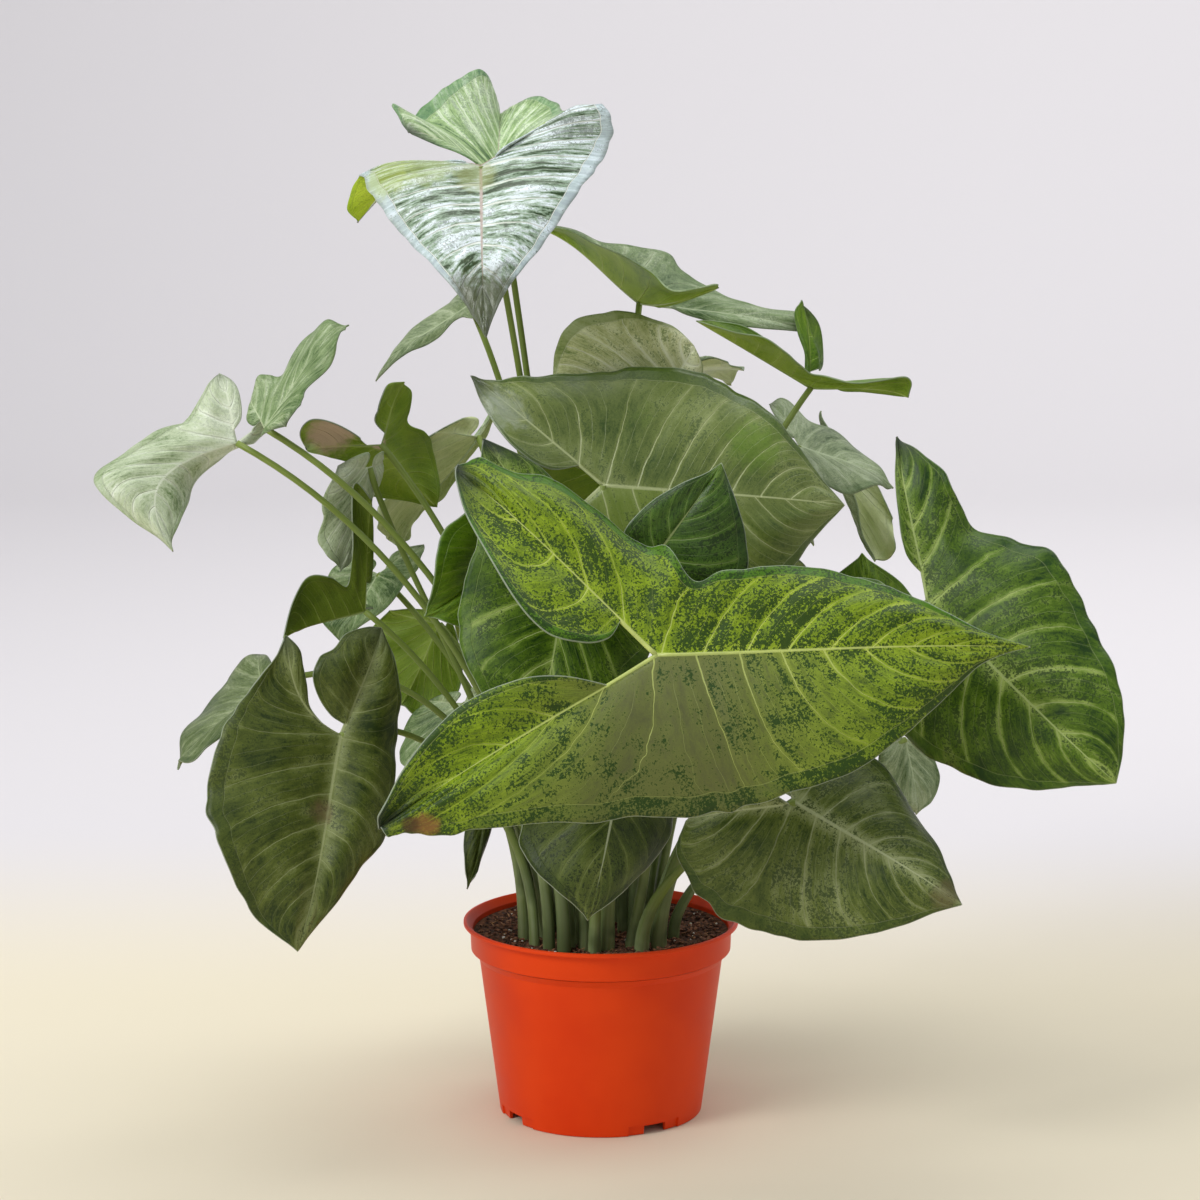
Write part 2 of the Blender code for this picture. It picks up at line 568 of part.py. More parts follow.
LEAVES = (
    Leaf("leaf_front_large", join=(24, -125, 240), tip=(186, -105, 240), left=(-63, -85, 315),
         right=(-93, -165, 173), foot=(3, -28), left_outline=FRONT_UPPER, right_outline=FRONT_LOWER,
         arch=0.03, foot_radius=3.2, top_radius=2.0, rows=16, columns=3),
    Leaf("leaf_front_upper", join=(1, -40, 303), tip=(111, -25, 292), left=(-59, -25, 351),
         right=(-54, -45, 253), foot=(-2, -8), left_outline=FULL, right_outline=BROAD, rows=14),
    Leaf("leaf_front_dark", join=(18, -80, 268), tip=(53, -76, 317), left=(-14, -82, 263),
         right=(33, -81, 238), foot=(14, -22), left_outline=NARROW, right_outline=WIDE,
         bow=(14, -8, 0), rows=10),
    Leaf("leaf_behind_front", join=(-14, -58, 270), tip=(-30, -78, 183), left=(20, -54, 262),
         right=(-53, -48, 325), foot=(-8, -27), left_outline=ARROW, right_outline=STRAIGHT),
    Leaf("leaf_behind_front_left", join=(-37, -20, 273), tip=(-80, -45, 244), left=(-17, -15, 254),
         right=(-41, -28, 304), foot=(-9, -18), rows=10),
    Leaf("leaf_right_large", join=(147, -51, 251), tip=(227, -91, 177), left=(135, -21, 323),
         right=(79, -16, 243), foot=(27, -24), left_outline=RIGHT_OUTER, right_outline=ARROW,
         foot_radius=3.0, top_radius=1.8, rows=14),
    Leaf("leaf_right_round", join=(86, -90, 168), tip=(157, -115, 128), left=(64, -58, 200),
         right=(38, -78, 157), foot=(19, -30), left_outline=ROUND, right_outline=ROUND,
         foot_radius=2.8, top_radius=1.8),
    Leaf("leaf_right_small_silver", join=(150, 70, 164), tip=(155, 62, 128), left=(168, 82, 165),
         right=(137, 62, 163), foot=(34, -6), left_outline=NARROW, rows=8),
    Leaf("leaf_right_silver", join=(95, 40, 312), tip=(137, 15, 295), left=(82, 75, 329),
         right=(84, 18, 306), foot=(18, 4), rows=10),
    Leaf("leaf_right_back", join=(116, 85, 299), tip=(133, 60, 254), left=(108, 92, 324),
         right=(132, 76, 294), foot=(26, 14), left_outline=ROUND, bow=(6, 0, 8), rows=10),
    Leaf("leaf_right_dark", join=(128, 25, 220), tip=(124, 32, 262), left=(102, 25, 210),
         right=(156, 35, 206), foot=(25, -12), rows=8),
    Leaf("leaf_low_middle", join=(9, -75, 179), tip=(-6, -88, 114), left=(40, -55, 189),
         right=(-27, -70, 192), foot=(-3, -35), rows=10),
    Leaf("leaf_pale_dome", join=(33, 6, 344), tip=(-23, -2, 345), left=(41, 6, 321),
         right=(43, 12, 362), foot=(10, 4), left_outline=ROUND, right_outline=ROUND, rows=10),
    Leaf("leaf_top_front", join=(-54, -20, 445), tip=(-50, -80, 372), left=(-9, 0, 471),
         right=(-97, 0, 457), foot=(-5, 2), left_outline=SHORT_LOBED, right_outline=SHORT_LOBED,
         right_drop=(-15, 8, -38), bow=(-9, 0, 0)),
    Leaf("leaf_top_back", join=(-48, 22, 441), tip=(-49, 98, 461), left=(-88, 5, 460),
         right=(-20, 8, 458), foot=(-6, 12), left_outline=CRESTED, arch=0.165, fold=(0.9, -0.3),
         bow=(-9, 0, 0), rows=10),
    Leaf("leaf_top_hanging", join=(-62, 45, 379), tip=(-105, 17, 345), left=(-48, 35, 382),
         right=(-48, 76, 400), foot=(-13, 15), left_outline=THIN_WAISTED, right_outline=NARROW,
         bow=(5, 0, 0), rows=10),
    Leaf("leaf_upper_right_wide", join=(18, 25, 381), tip=(-33, 45, 416), left=(53, -28, 375),
         right=(98, 45, 366), foot=(4, 12), right_outline=TRAILING, left_drop=(0, 0, 16), rows=12),
    Leaf("leaf_upper_right_far", join=(99, 30, 341), tip=(44, 5, 374), left=(143, 12, 338),
         right=(95, 48, 379), foot=(15, -5), left_outline=THIN_WAISTED, right_outline=UPRIGHT,
         arch=0.0, rows=10),
    Leaf("leaf_left_underside", join=(-103, 20, 315), tip=(-79, 56, 281), left=(-137, 8, 314),
         right=(-93, 38, 343), foot=(-15, -25), left_outline=HUNCHED, right_outline=STAR, rows=10),
    Leaf("leaf_left_pale", join=(-60, 86, 312), tip=(-98, 68, 258), left=(-80, 66, 316),
         right=(-44, 96, 331), foot=(-17, -8), left_outline=ARROW, right_outline=ROUND, rows=10),
    Leaf("leaf_left_silver", join=(-108, 12, 305), tip=(-122, 6, 257), left=(-103, 20, 308),
         right=(-122, 2, 307), foot=(-31, 0), arc=0.15, rows=10),
    Leaf("leaf_left_dark", join=(-110, 0, 239), tip=(-146, -22, 230), left=(-106, -4, 292),
         right=(-117, 22, 236), foot=(-26, -8), left_outline=THIN_WAISTED, rows=8),
    Leaf("leaf_left_pale_low", join=(-107, 45, 250), tip=(-124, 40, 216), left=(-84, 32, 266),
         right=(-123, 52, 256), foot=(-24, 6), rows=8),
    Leaf("leaf_left_green_low", join=(-78, 55, 224), tip=(-96, 35, 188), left=(-103, 65, 229),
         right=(-67, 48, 205), foot=(-20, 14), rows=8),
    Leaf("leaf_left_inner_low", join=(-66, 18, 192), tip=(-85, 8, 158), left=(-55, 18, 198),
         right=(-83, 26, 191), foot=(-28, 14), rows=8),
    Leaf("leaf_low_left_large", join=(-117, -60, 192), tip=(-134, -100, 103), left=(-100, -35, 237),
         right=(-142, -55, 237), foot=(-31, -20), left_outline=DROOP_INNER, right_outline=DROOP_OUTER,
         arc=0.3, bow=(0, 22, 32), rows=14),
    Leaf("leaf_low_left_silver", join=(-157, -15, 205), tip=(-194, -35, 171), left=(-156, -32, 200),
         right=(-161, 20, 215), foot=(-36, -9), left_outline=NARROW, bow=(0, 6, 52), rows=8),
    Leaf("leaf_far_left_front", join=(-166, -20, 320), tip=(-191, -57, 275), left=(-144, 13, 336),
         right=(-176, 0, 350), foot=(-24, -29), left_outline=BLUNT, right_outline=LONG_BACKED,
         arch=0.10, sway=(-23, 0, 4), arc=0.64, rows=14),
    Leaf("leaf_far_left_back", join=(-152, -32, 328), tip=(-115, -10, 373), left=(-160, -8, 339),
         right=(-141, -44, 330), foot=(-17, -33), left_outline=NARROW, right_outline=NARROW, arc=0.64,
         rows=10),
    Leaf("leaf_low_hanging", join=(-52, 26, 152), tip=(-64, 16, 102), left=(-45, 30, 160),
         right=(-60, 26, 160), foot=(-20, 21), left_outline=NARROW, right_outline=NARROW, rows=8),
    Leaf("leaf_back_middle", join=(12, 122, 296), tip=(2, 168, 208), left=(-24, 98, 334),
         right=(57, 98, 334), foot=(2, 27), left_outline=BROAD, right_outline=BROAD, rows=10),
    Leaf("leaf_back_right", join=(80, 104, 232), tip=(122, 152, 172), left=(34, 104, 256),
         right=(88, 60, 256), foot=(24, 25), rows=10),
    Leaf("leaf_back_left", join=(-42, 105, 234), tip=(-58, 158, 166), left=(-64, 74, 266),
         right=(-3, 92, 264), foot=(-14, 26), rows=10),
    Leaf("leaf_back_low", join=(34, 112, 188), tip=(74, 152, 152), left=(-2, 112, 205),
         right=(34, 76, 205), foot=(13, 34), rows=8),
    Leaf("leaf_back_upper", join=(30, 95, 340), tip=(66, 137, 333), left=(0, 100, 350),
         right=(45, 60, 350), foot=(9, 20), rows=8),
    Leaf("leaf_back_shoulder", join=(72, 118, 300), tip=(110, 158, 248), left=(36, 120, 322),
         right=(72, 84, 322), foot=(17, 15), rows=8),
)


def main():
    for item in list(bpy.data.objects):
        bpy.data.objects.remove(item)
    collection = bpy.data.collections.new("potted_syngonium")
    cutters = bpy.data.collections.new("cutters")
    for made in (collection, cutters):
        bpy.context.scene.collection.children.link(made)
    build_pot(collection, cutters)
    soil = build_soil(collection)
    green = material("leaf_green", (0.10, 0.22, 0.04), 0.5)
    for leaf in LEAVES:
        build_leaf(leaf, collection, cutters, green)
        cut(soil, build_hole(leaf, cutters))


main()
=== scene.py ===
"""Potted syngonium: the finished look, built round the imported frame.

Lengths are in metres, +Z is up, the pot stands on z = 0 and the plant's front faces -Y. Places on the
plant are written in millimetres and turned into metres by mm(). Each leaf is one mesh: a blade laid on
the same surface as its solid, its ribs, and its stalk.
"""
import math
import random
from dataclasses import dataclass

import bpy
from mathutils import Matrix, Vector, noise


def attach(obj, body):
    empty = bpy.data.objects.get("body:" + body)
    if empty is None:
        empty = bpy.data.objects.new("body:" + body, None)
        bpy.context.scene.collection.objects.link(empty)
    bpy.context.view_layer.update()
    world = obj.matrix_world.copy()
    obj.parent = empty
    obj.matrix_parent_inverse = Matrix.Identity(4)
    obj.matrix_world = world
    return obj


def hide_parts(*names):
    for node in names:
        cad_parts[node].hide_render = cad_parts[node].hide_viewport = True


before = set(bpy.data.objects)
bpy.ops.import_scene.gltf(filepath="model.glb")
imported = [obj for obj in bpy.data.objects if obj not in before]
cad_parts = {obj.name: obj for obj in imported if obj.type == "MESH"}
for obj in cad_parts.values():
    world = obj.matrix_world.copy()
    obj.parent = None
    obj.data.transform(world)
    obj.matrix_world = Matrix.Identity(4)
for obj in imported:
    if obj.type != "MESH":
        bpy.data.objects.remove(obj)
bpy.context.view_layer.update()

MM = 0.001

# Pot, mm
POT_HEIGHT = 92.0
RIM_RADIUS = 65.0
FOOT_RADIUS = 48.0
WALL = 1.3
FOOT_WIDTH = 2.2
BAND_BOTTOM = 77.5
BAND_RADIUS = 61.4
SHOULDER_BOTTOM = 72.5
SHOULDER_RADIUS = 57.4
FLOOR_UNDERSIDE = 4.6
FLOOR_TOP = 6.0
POT_SEGMENTS = 144
NOTCH_TURNS = (-58.0, 32.0, 122.0, 212.0)  # degrees from the front, anticlockwise from above
NOTCH_WIDTH = 11.5
NOTCH_HEIGHT = 4.0
NOTCH_DEPTH = 16.0
PANEL_HEIGHT = 4.6
PANEL_DEPTH = 0.9
PANEL_TURN = 16.5                          # degrees either side of a notch
DRAIN_RING = 27.0
DRAIN_RADIUS = 4.0
DRAIN_COUNT = 4

# Potting mix, mm
SOIL_TOP = 83.5
SOIL_CROWN = 1.5
SOIL_RISE = 3.0            # how much higher the mix lies against the wall
SOIL_RADIUS = 60.2
SOIL_RINGS = 26
SOIL_SEGMENTS = 110
CLEAR_OF_STALK = 4.2       # no loose bit lies nearer than this to the middle of a stalk
FREE_FROM = SOIL_TOP + SOIL_CROWN + 1.0    # height where the stalks begin to lean
BURIED = 12.0

# Leaves
BLADE_THICKNESS = 0.7      # mm
LOBE_ROWS = 0.42           # share of a blade's rows that lie along its lobes
COLUMNS = 20               # cells between the rib and the outer edge
INNER_COLUMNS = 9          # cells between a lobe's rib and the sinus
MARGIN_VEIN = 0.87         # how far out the vein along the edge lies
LOBE_PAIRS = 0.62          # side veins of a lobe, as a share of the midrib's
HOOK_FROM = 0.75           # how far out on a lobe its tip begins to turn down
FULL_LENGTH = 0.14         # metres; a leaf at least this long has waves and quilting at full size
STALK_STEPS = 30
STALK_SIDES = 12
SHEATHED = 0.45            # share of a stalk's length that is sheathed
SLIM_FROM = 0.6            # share of its length where it has its least radius
GROOVE = 0.45              # depth of the groove at its foot, as a share of its radius
RIB_THICKNESS = 0.0088     # radius of a midrib at the join, as a share of the blade's length
RIB_STEPS = 24
RIB_SIDES = 8

# Camera, as fitted to the pot's rim and foot
CAMERA_PLACE = (-0.0004, -1.424, 0.4655)
CAMERA_DIP = 8.824         # degrees below level
CAMERA_LENS = 92.74        # mm


def mm(point):
    """A place in millimetres as a vector in metres."""
    return Vector(point) * MM


def rgb(red, green, blue):
    """A colour seen as 0 to 255 in each channel, as linear light."""
    def linear(value):
        share = value / 255
        return share / 12.92 if share <= 0.04045 else ((share + 0.055) / 1.055) ** 2.4
    return (linear(red), linear(green), linear(blue), 1.0)


@dataclass(frozen=True)
class Outline:
    """Half a blade, flat, in lengths of its midrib: (along, across), the join at (0, 0), the tip at (1, 0).

    outer runs from the basal lobe's tip along the outer edge to the leaf's tip, inner along the edge
    of the sinus to just short of the lobe's tip, waist is the fraction of the outer edge that lies
    opposite the join, bare is the part of the lobe's rib without blade on its inner side, and bend
    is how far the rib's middle lies off the straight line.
    """
    outer: tuple
    inner: tuple
    waist: float = 0.42
    bare: float = 0.18
    bend: tuple = (0.0, 0.0)

    def rib(self, out):
        """Place on the lobe's rib, from the join (0) to the lobe's tip (1)."""
        lobe = self.outer[0]
        lift = 4 * out * (1 - out)
        return lobe[0] * out + self.bend[0] * lift, lobe[1] * out + self.bend[1] * lift

    def sinus(self, fraction):
        """Place on the edge of the sinus, from the lobe's tip (0) to the bare rib (1)."""
        return curve_through((self.outer[0],) + self.inner[::-1] + (self.rib(self.bare),), fraction)


ARROW = Outline(
    outer=((-0.46, 0.42), (-0.36, 0.50), (-0.17, 0.50), (0.02, 0.43), (0.24, 0.41), (0.50, 0.30),
           (0.76, 0.14), (0.92, 0.04), (1.0, 0.0)),
    inner=((-0.17, 0.06), (-0.28, 0.12), (-0.39, 0.26)),
)
BROAD = Outline(
    outer=((-0.56, 0.41), (-0.44, 0.42), (-0.28, 0.45), (-0.05, 0.49), (0.16, 0.50), (0.37, 0.47),
           (0.56, 0.38), (0.74, 0.23), (0.89, 0.09), (1.0, 0.0)),
    inner=((-0.20, 0.045), (-0.33, 0.08), (-0.46, 0.21)),
    waist=0.40,
)
ROUND = Outline(
    outer=((-0.42, 0.34), (-0.36, 0.50), (-0.16, 0.60), (0.08, 0.62), (0.34, 0.57), (0.58, 0.45),
           (0.79, 0.26), (0.92, 0.09), (1.0, 0.0)),
    inner=((-0.12, 0.02), (-0.23, 0.03), (-0.36, 0.15)),
    bare=0.06,
)
RIGHT_INNER = Outline(
    outer=((-0.46, 0.42), (-0.36, 0.50), (-0.17, 0.50), (0.02, 0.44), (0.24, 0.43), (0.50, 0.37),
           (0.76, 0.24), (0.90, 0.11), (1.0, 0.0)),
    inner=ARROW.inner,
)
NARROW = Outline(
    outer=((-0.40, 0.36), (-0.30, 0.39), (-0.14, 0.33), (0.04, 0.27), (0.26, 0.28), (0.50, 0.23),
           (0.74, 0.13), (0.90, 0.04), (1.0, 0.0)),
    inner=((-0.17, 0.09), (-0.26, 0.15), (-0.34, 0.25)),
    bare=0.25,
)
THIN_WAISTED = Outline(
    outer=((-0.40, 0.36), (-0.30, 0.42), (-0.15, 0.35), (-0.02, 0.20), (0.12, 0.10), (0.30, 0.15),
           (0.52, 0.16), (0.76, 0.10), (1.0, 0.0)),
    inner=NARROW.inner,
    bare=0.25,
)
STAR = Outline(
    outer=((-0.30, 0.62), (-0.16, 0.60), (-0.02, 0.46), (0.10, 0.38), (0.28, 0.42), (0.52, 0.42),
           (0.76, 0.30), (0.92, 0.10), (1.0, 0.0)),
    inner=((-0.22, 0.13), (-0.36, 0.28), (-0.41, 0.48)),
)
HUNCHED = Outline(
    outer=((-0.15, 0.62), (-0.03, 0.58), (0.05, 0.45), (0.13, 0.38), (0.30, 0.46), (0.52, 0.50),
           (0.76, 0.36), (0.91, 0.14), (1.0, 0.0)),
    inner=((-0.20, 0.12), (-0.42, 0.22), (-0.50, 0.38), (-0.38, 0.55)),
)
WIDE = Outline(
    outer=((-0.22, 0.50), (-0.10, 0.62), (0.10, 0.68), (0.33, 0.67), (0.56, 0.59), (0.75, 0.40),
           (0.87, 0.22), (0.95, 0.08), (1.0, 0.0)),
    inner=((-0.06, 0.12), (-0.12, 0.25), (-0.18, 0.38)),
    waist=0.34,
)
FULL = Outline(
    outer=((-0.58, 0.41), (-0.46, 0.40), (-0.30, 0.43), (-0.05, 0.48), (0.15, 0.51), (0.36, 0.50),
           (0.54, 0.43), (0.70, 0.30), (0.85, 0.14), (1.0, 0.0)),
    inner=((-0.24, 0.04), (-0.39, 0.11), (-0.50, 0.25)),
    waist=0.40,
)
STRAIGHT = Outline(
    outer=((-0.56, 0.41), (-0.42, 0.40), (-0.22, 0.38), (-0.02, 0.36), (0.18, 0.38), (0.38, 0.37),
           (0.58, 0.31), (0.78, 0.18), (0.92, 0.06), (1.0, 0.0)),
    inner=((-0.20, 0.045), (-0.33, 0.07), (-0.46, 0.19)),
    waist=0.40,
)
SHORT_LOBED = Outline(
    outer=((-0.22, 0.50), (-0.18, 0.60), (-0.05, 0.65), (0.10, 0.60), (0.24, 0.52), (0.40, 0.41),
           (0.60, 0.27), (0.80, 0.12), (0.93, 0.035), (1.0, 0.0)),
    inner=((-0.05, 0.12), (-0.10, 0.26), (-0.17, 0.40)),
    waist=0.34,
    bare=0.14,
)
LONG_BACKED = Outline(
    outer=((-0.49, 0.27), (-0.32, 0.295), (-0.10, 0.29), (0.05, 0.305), (0.26, 0.26), (0.43, 0.275),
           (0.63, 0.33), (0.76, 0.29), (0.85, 0.18), (0.92, 0.05), (1.0, 0.0)),
    inner=((-0.20, 0.05), (-0.36, 0.12), (-0.46, 0.19)),
    waist=0.35,
)
BLUNT = Outline(
    outer=((-0.40, 0.36), (-0.28, 0.36), (-0.12, 0.28), (0.04, 0.22), (0.15, 0.27), (0.28, 0.35),
           (0.44, 0.40), (0.64, 0.385), (0.81, 0.21), (0.93, 0.06), (1.0, 0.0)),
    inner=NARROW.inner,
    waist=0.35,
    bare=0.25,
)
TRAILING = Outline(
    outer=((-0.90, 0.50), (-0.78, 0.55), (-0.50, 0.42), (-0.24, 0.35), (0.02, 0.34), (0.24, 0.38),
           (0.38, 0.27), (0.54, 0.15), (0.80, 0.10), (1.0, 0.0)),
    inner=((-0.30, 0.11), (-0.50, 0.18), (-0.70, 0.31)),
    waist=0.45,
)
UPRIGHT = Outline(
    outer=((-0.15, 0.50), (-0.06, 0.44), (-0.03, 0.32), (-0.01, 0.15), (0.05, 0.06), (0.20, 0.10),
           (0.50, 0.14), (0.78, 0.08), (1.0, 0.0)),
    inner=((-0.12, 0.12), (-0.23, 0.22), (-0.27, 0.34), (-0.27, 0.45)),
    waist=0.40,
)
CRESTED = Outline(
    outer=((-0.46, 0.42), (-0.36, 0.50), (-0.17, 0.46), (0.0, 0.40), (0.20, 0.35), (0.40, 0.29),
           (0.60, 0.22), (0.80, 0.10), (1.0, 0.0)),
    inner=ARROW.inner,
)
FRONT_UPPER = Outline(
    outer=((-0.54, 0.50), (-0.51, 0.52), (-0.42, 0.485), (-0.23, 0.43), (-0.05, 0.30), (0.09, 0.21),
           (0.22, 0.21), (0.38, 0.225), (0.54, 0.19), (0.66, 0.14), (0.78, 0.08), (0.90, 0.03), (1.0, 0.0)),
    inner=((-0.13, 0.04), (-0.20, 0.02), (-0.30, 0.04), (-0.40, 0.14), (-0.50, 0.33), (-0.54, 0.46)),
    waist=0.40,
)
FRONT_LOWER = Outline(
    outer=((-0.75, 0.47), (-0.72, 0.49), (-0.62, 0.495), (-0.44, 0.49), (-0.15, 0.465), (0.12, 0.45),
           (0.27, 0.42), (0.52, 0.33), (0.73, 0.17), (0.86, 0.05), (1.0, 0.0)),
    inner=((-0.26, 0.065), (-0.39, 0.08), (-0.53, 0.15), (-0.67, 0.30), (-0.745, 0.43)),
    waist=0.45,
)
RIGHT_OUTER = Outline(
    outer=((-0.50, 0.38), (-0.32, 0.41), (-0.18, 0.38), (-0.04, 0.33), (0.12, 0.40), (0.27, 0.46),
           (0.42, 0.44), (0.58, 0.37), (0.73, 0.31), (0.86, 0.22), (0.95, 0.10), (1.0, 0.0)),
    inner=((-0.18, 0.08), (-0.30, 0.17), (-0.42, 0.29)),
    waist=0.34,
)
DROOP_OUTER = Outline(
    outer=((-0.40, 0.34), (-0.20, 0.41), (0.0, 0.50), (0.20, 0.55), (0.38, 0.55), (0.58, 0.48),
           (0.77, 0.34), (0.91, 0.18), (1.0, 0.0)),
    inner=((-0.10, 0.17), (-0.20, 0.21), (-0.28, 0.245), (-0.35, 0.28)),
    waist=0.34,
    bare=0.16,
    bend=(0.06, 0.06),
)
DROOP_INNER = Outline(
    outer=((-0.53, 0.20), (-0.395, 0.35), (-0.25, 0.48), (-0.12, 0.57), (0.02, 0.625), (0.16, 0.65),
           (0.33, 0.69), (0.47, 0.63), (0.60, 0.44), (0.77, 0.25), (0.90, 0.10), (1.0, 0.0)),
    inner=((-0.08, -0.12), (-0.15, -0.30), (-0.25, -0.44), (-0.33, -0.42), (-0.38, -0.30),
           (-0.46, -0.20), (-0.52, 0.05)),
    waist=0.37,
    bare=0.10,
)


@dataclass(frozen=True)
class Leaf:
    """One leaf: places in mm, shape values as fractions of its length unless a comment says mm."""
    name: str
    join: tuple           # where the stalk meets the blade
    tip: tuple
    left: tuple           # tip of the left basal lobe, seen on the upper face with the leaf's tip up
    right: tuple
    foot: tuple           # where the stalk leaves the potting mix, (x, y)
    left_outline: Outline = ARROW
    right_outline: Outline = ARROW
    arch: float = 0.06    # rise of the midrib between the join and the tip
    lobe_arch: float = 0.04
    left_drop: tuple = (0.0, 0.0, 0.0)    # mm that the left lobe's tip is bent away from its flat place
    right_drop: tuple = (0.0, 0.0, 0.0)
    sway: tuple = (0.0, 0.0, 0.0)         # mm that the middle of the midrib is moved
    fold: tuple = (0.0, 0.0)   # how far the left and right halves are turned up at the tip, radians
    puff: float = 0.10    # doming between midrib and edge
    wave: float = 0.02    # height of the waves along the edge
    waves: float = 3.0
    phase: float = 0.0
    arc: float = 0.5      # how level the stalk runs out to the join
    bow: tuple = (0.0, 0.0, 0.0)   # mm that the stalk's middle is moved
    foot_radius: float = 2.3   # mm
    top_radius: float = 1.5    # mm
    face: str = "olive"        # finish of the upper face
    back: str = "back_green"   # finish of the underside
    pairs: float = 6.0         # pairs of side veins along the midrib
    quilt: float = 0.25        # mm that the blade swells between its side veins
    curl: float = 0.0          # mm that the edge of the sinus is rolled up
    rumple: float = 0.7        # mm of uneven swelling
    ripple: float = 0.9        # mm of small waves along the edge
    hook: tuple = (0.0, 0.0)   # mm that the left and right lobe tips are turned down
    pinch: float = 0.0         # mm that the left edge is drawn up into a fold beside the join
    sweep: float = 0.30        # how far the side veins lean towards the tips
    rows: int = 100


def curve_through(points, fraction):
    """A point of the smooth line through the points, at a fraction of its way (Catmull-Rom)."""
    last = len(points) - 1
    place = min(max(fraction, 0.0), 1.0) * last
    start = min(int(place), last - 1)
    t = place - start
    before = points[max(start - 1, 0)]
    here = points[start]
    there = points[start + 1]
    after = points[min(start + 2, last)]
    return tuple(
        0.5 * (2 * h + (n - b) * t + (2 * b - 5 * h + 4 * n - a) * t * t + (3 * h - b - 3 * n + a) * t ** 3)
        for b, h, n, a in zip(before, here, there, after)
    )


class Blade:
    """The middle surface of a leaf's blade, from its own places and outlines."""

    def __init__(self, leaf):
        self.leaf = leaf
        self.seed = sum(leaf.join) * 0.37
        self.join = mm(leaf.join)
        self.along = mm(leaf.tip) - self.join
        self.length = self.along.length
        self.small = min(1.0, max(0.3, self.length / FULL_LENGTH))
        self.outlines = {-1: leaf.left_outline, 1: leaf.right_outline}
        self.drop = {-1: mm(leaf.left_drop), 1: mm(leaf.right_drop)}
        self.across = {}
        for side, lobe in ((-1, leaf.left), (1, leaf.right)):
            reach, spread = self.outlines[side].outer[0]
            self.across[side] = (mm(lobe) - self.join - self.along * reach) / spread
        self.up = (self.across[1] - self.across[-1]).cross(self.along).normalized()
        self.side_up = {
            -1: self.along.cross(self.across[-1]).normalized(),
            1: self.across[1].cross(self.along).normalized(),
        }

    def spine(self, side, u):
        """Flat place on the lobe's rib and the midrib: lobe tip at u=0, join at the waist, tip at 1."""
        outline = self.outlines[side]
        if u < outline.waist:
            return outline.rib(1 - u / outline.waist)
        return (u - outline.waist) / (1 - outline.waist), 0.0

    def way(self, side, u):
        """How far along its rib a row starts: -1 at the lobe's tip, 0 at the join, 1 at the leaf's tip."""
        waist = self.outlines[side].waist
        return u / waist - 1 if u < waist else (u - waist) / (1 - waist)

    def vein(self, side, u, v):
        """Count of side veins up to this place, so that each whole number lies on a vein."""
        way = self.way(side, u)
        sweep = self.leaf.sweep * way / (abs(way) + 0.32) * (0.45 * abs(v) + 0.55 * v * v)
        return self.leaf.pairs * ((way if way > 0 else way * LOBE_PAIRS) - sweep) + 0.09 * side

    def unevenness(self, side, u, v, width):
        """Small swellings in mm: between the veins, here and there, and along the edge."""
        leaf = self.leaf
        out = abs(v)
        soft = min(1.0, 8 * width)
        count = self.vein(side, u, v)
        ridge = math.cos(math.tau * count) + 0.35 * math.cos(2 * math.tau * count)
        height = -leaf.quilt * self.small * ridge * math.sin(math.pi * min(out / MARGIN_VEIN, 1.0))
        swelling = noise.noise(Vector((5 * u, 2 * v + 9 * side, self.seed)))
        height += leaf.rumple * swelling * 2 * min(1.0, 3 * out)
        crimp = noise.noise(Vector((24 * self.small * u, 3 * side, self.seed)))
        height += leaf.ripple * self.small * crimp * 2 * out ** 5
        if v < 0:
            height += leaf.curl * out ** 3
        way = self.way(side, u)
        if way < -HOOK_FROM:
            height -= leaf.hook[side > 0] * ((-way - HOOK_FROM) / (1 - HOOK_FROM)) ** 2
        if side < 0 < v:
            height += leaf.pinch * math.exp(-((way + 0.02) / 0.06) ** 2) * v * v
        return height * soft

    def point(self, side, u, v):
        """Place in metres; v runs from the spine (0) to the outer edge (1) or the sinus (-1)."""
        leaf = self.leaf
        outline = self.outlines[side]
        s0, t0 = self.spine(side, u)
        if v >= 0:
            s1, t1 = curve_through(outline.outer, u)
        else:
            s1, t1 = outline.sinus(min(u / self.bare(side), 1.0))
        s = s0 + (s1 - s0) * abs(v)
        t = t0 + (t1 - t0) * abs(v)
        width = math.hypot(s1 - s0, t1 - t0)
        t *= 1 + 0.03 * noise.noise(Vector((30 * self.small * u, 5 * side, self.seed))) * v ** 6
        if side < 0 < v and leaf.pinch:
            way = self.way(side, u)
            pleat = math.exp(-((way + 0.07) / 0.045) ** 2) - math.exp(-((way - 0.04) / 0.045) ** 2)
            t *= 1 + 0.022 * leaf.pinch * pleat * v ** 4
        rise = 0.0
        bend = Vector()
        across, lift = self.across[side], self.side_up[side]
        if s > 0:
            rise += leaf.arch * 6.75 * s * s * max(1 - s, 0.0)
            bend = mm(leaf.sway) * 4 * s * (1 - s)
            turn = leaf.fold[side > 0] * s
            tilt = lift * across.length
            across = across * math.cos(turn) + tilt * math.sin(turn)
        else:
            r = min(s / outline.outer[0][0], 1.0)
            rise += leaf.lobe_arch * 6.75 * r * r * (1 - r)
            bend = self.drop[side] * r * r
        swell = leaf.puff * width * math.sin(math.pi * abs(v))
        ends = min(1.0, 6 * width)
        swell += leaf.wave * ends * abs(v) ** 3 * math.sin(math.tau * leaf.waves * u + leaf.phase + side)
        fine = self.unevenness(side, u, v, width)
        return (
            self.join + self.along * s + across * t
            + (self.up * rise + lift * swell) * self.length + bend + lift * fine * MM
        )

    def bare(self, side):
        """The u of the place on the lobe's rib where the sinus edge begins."""
        outline = self.outlines[side]
        return outline.waist * (1 - outline.bare)


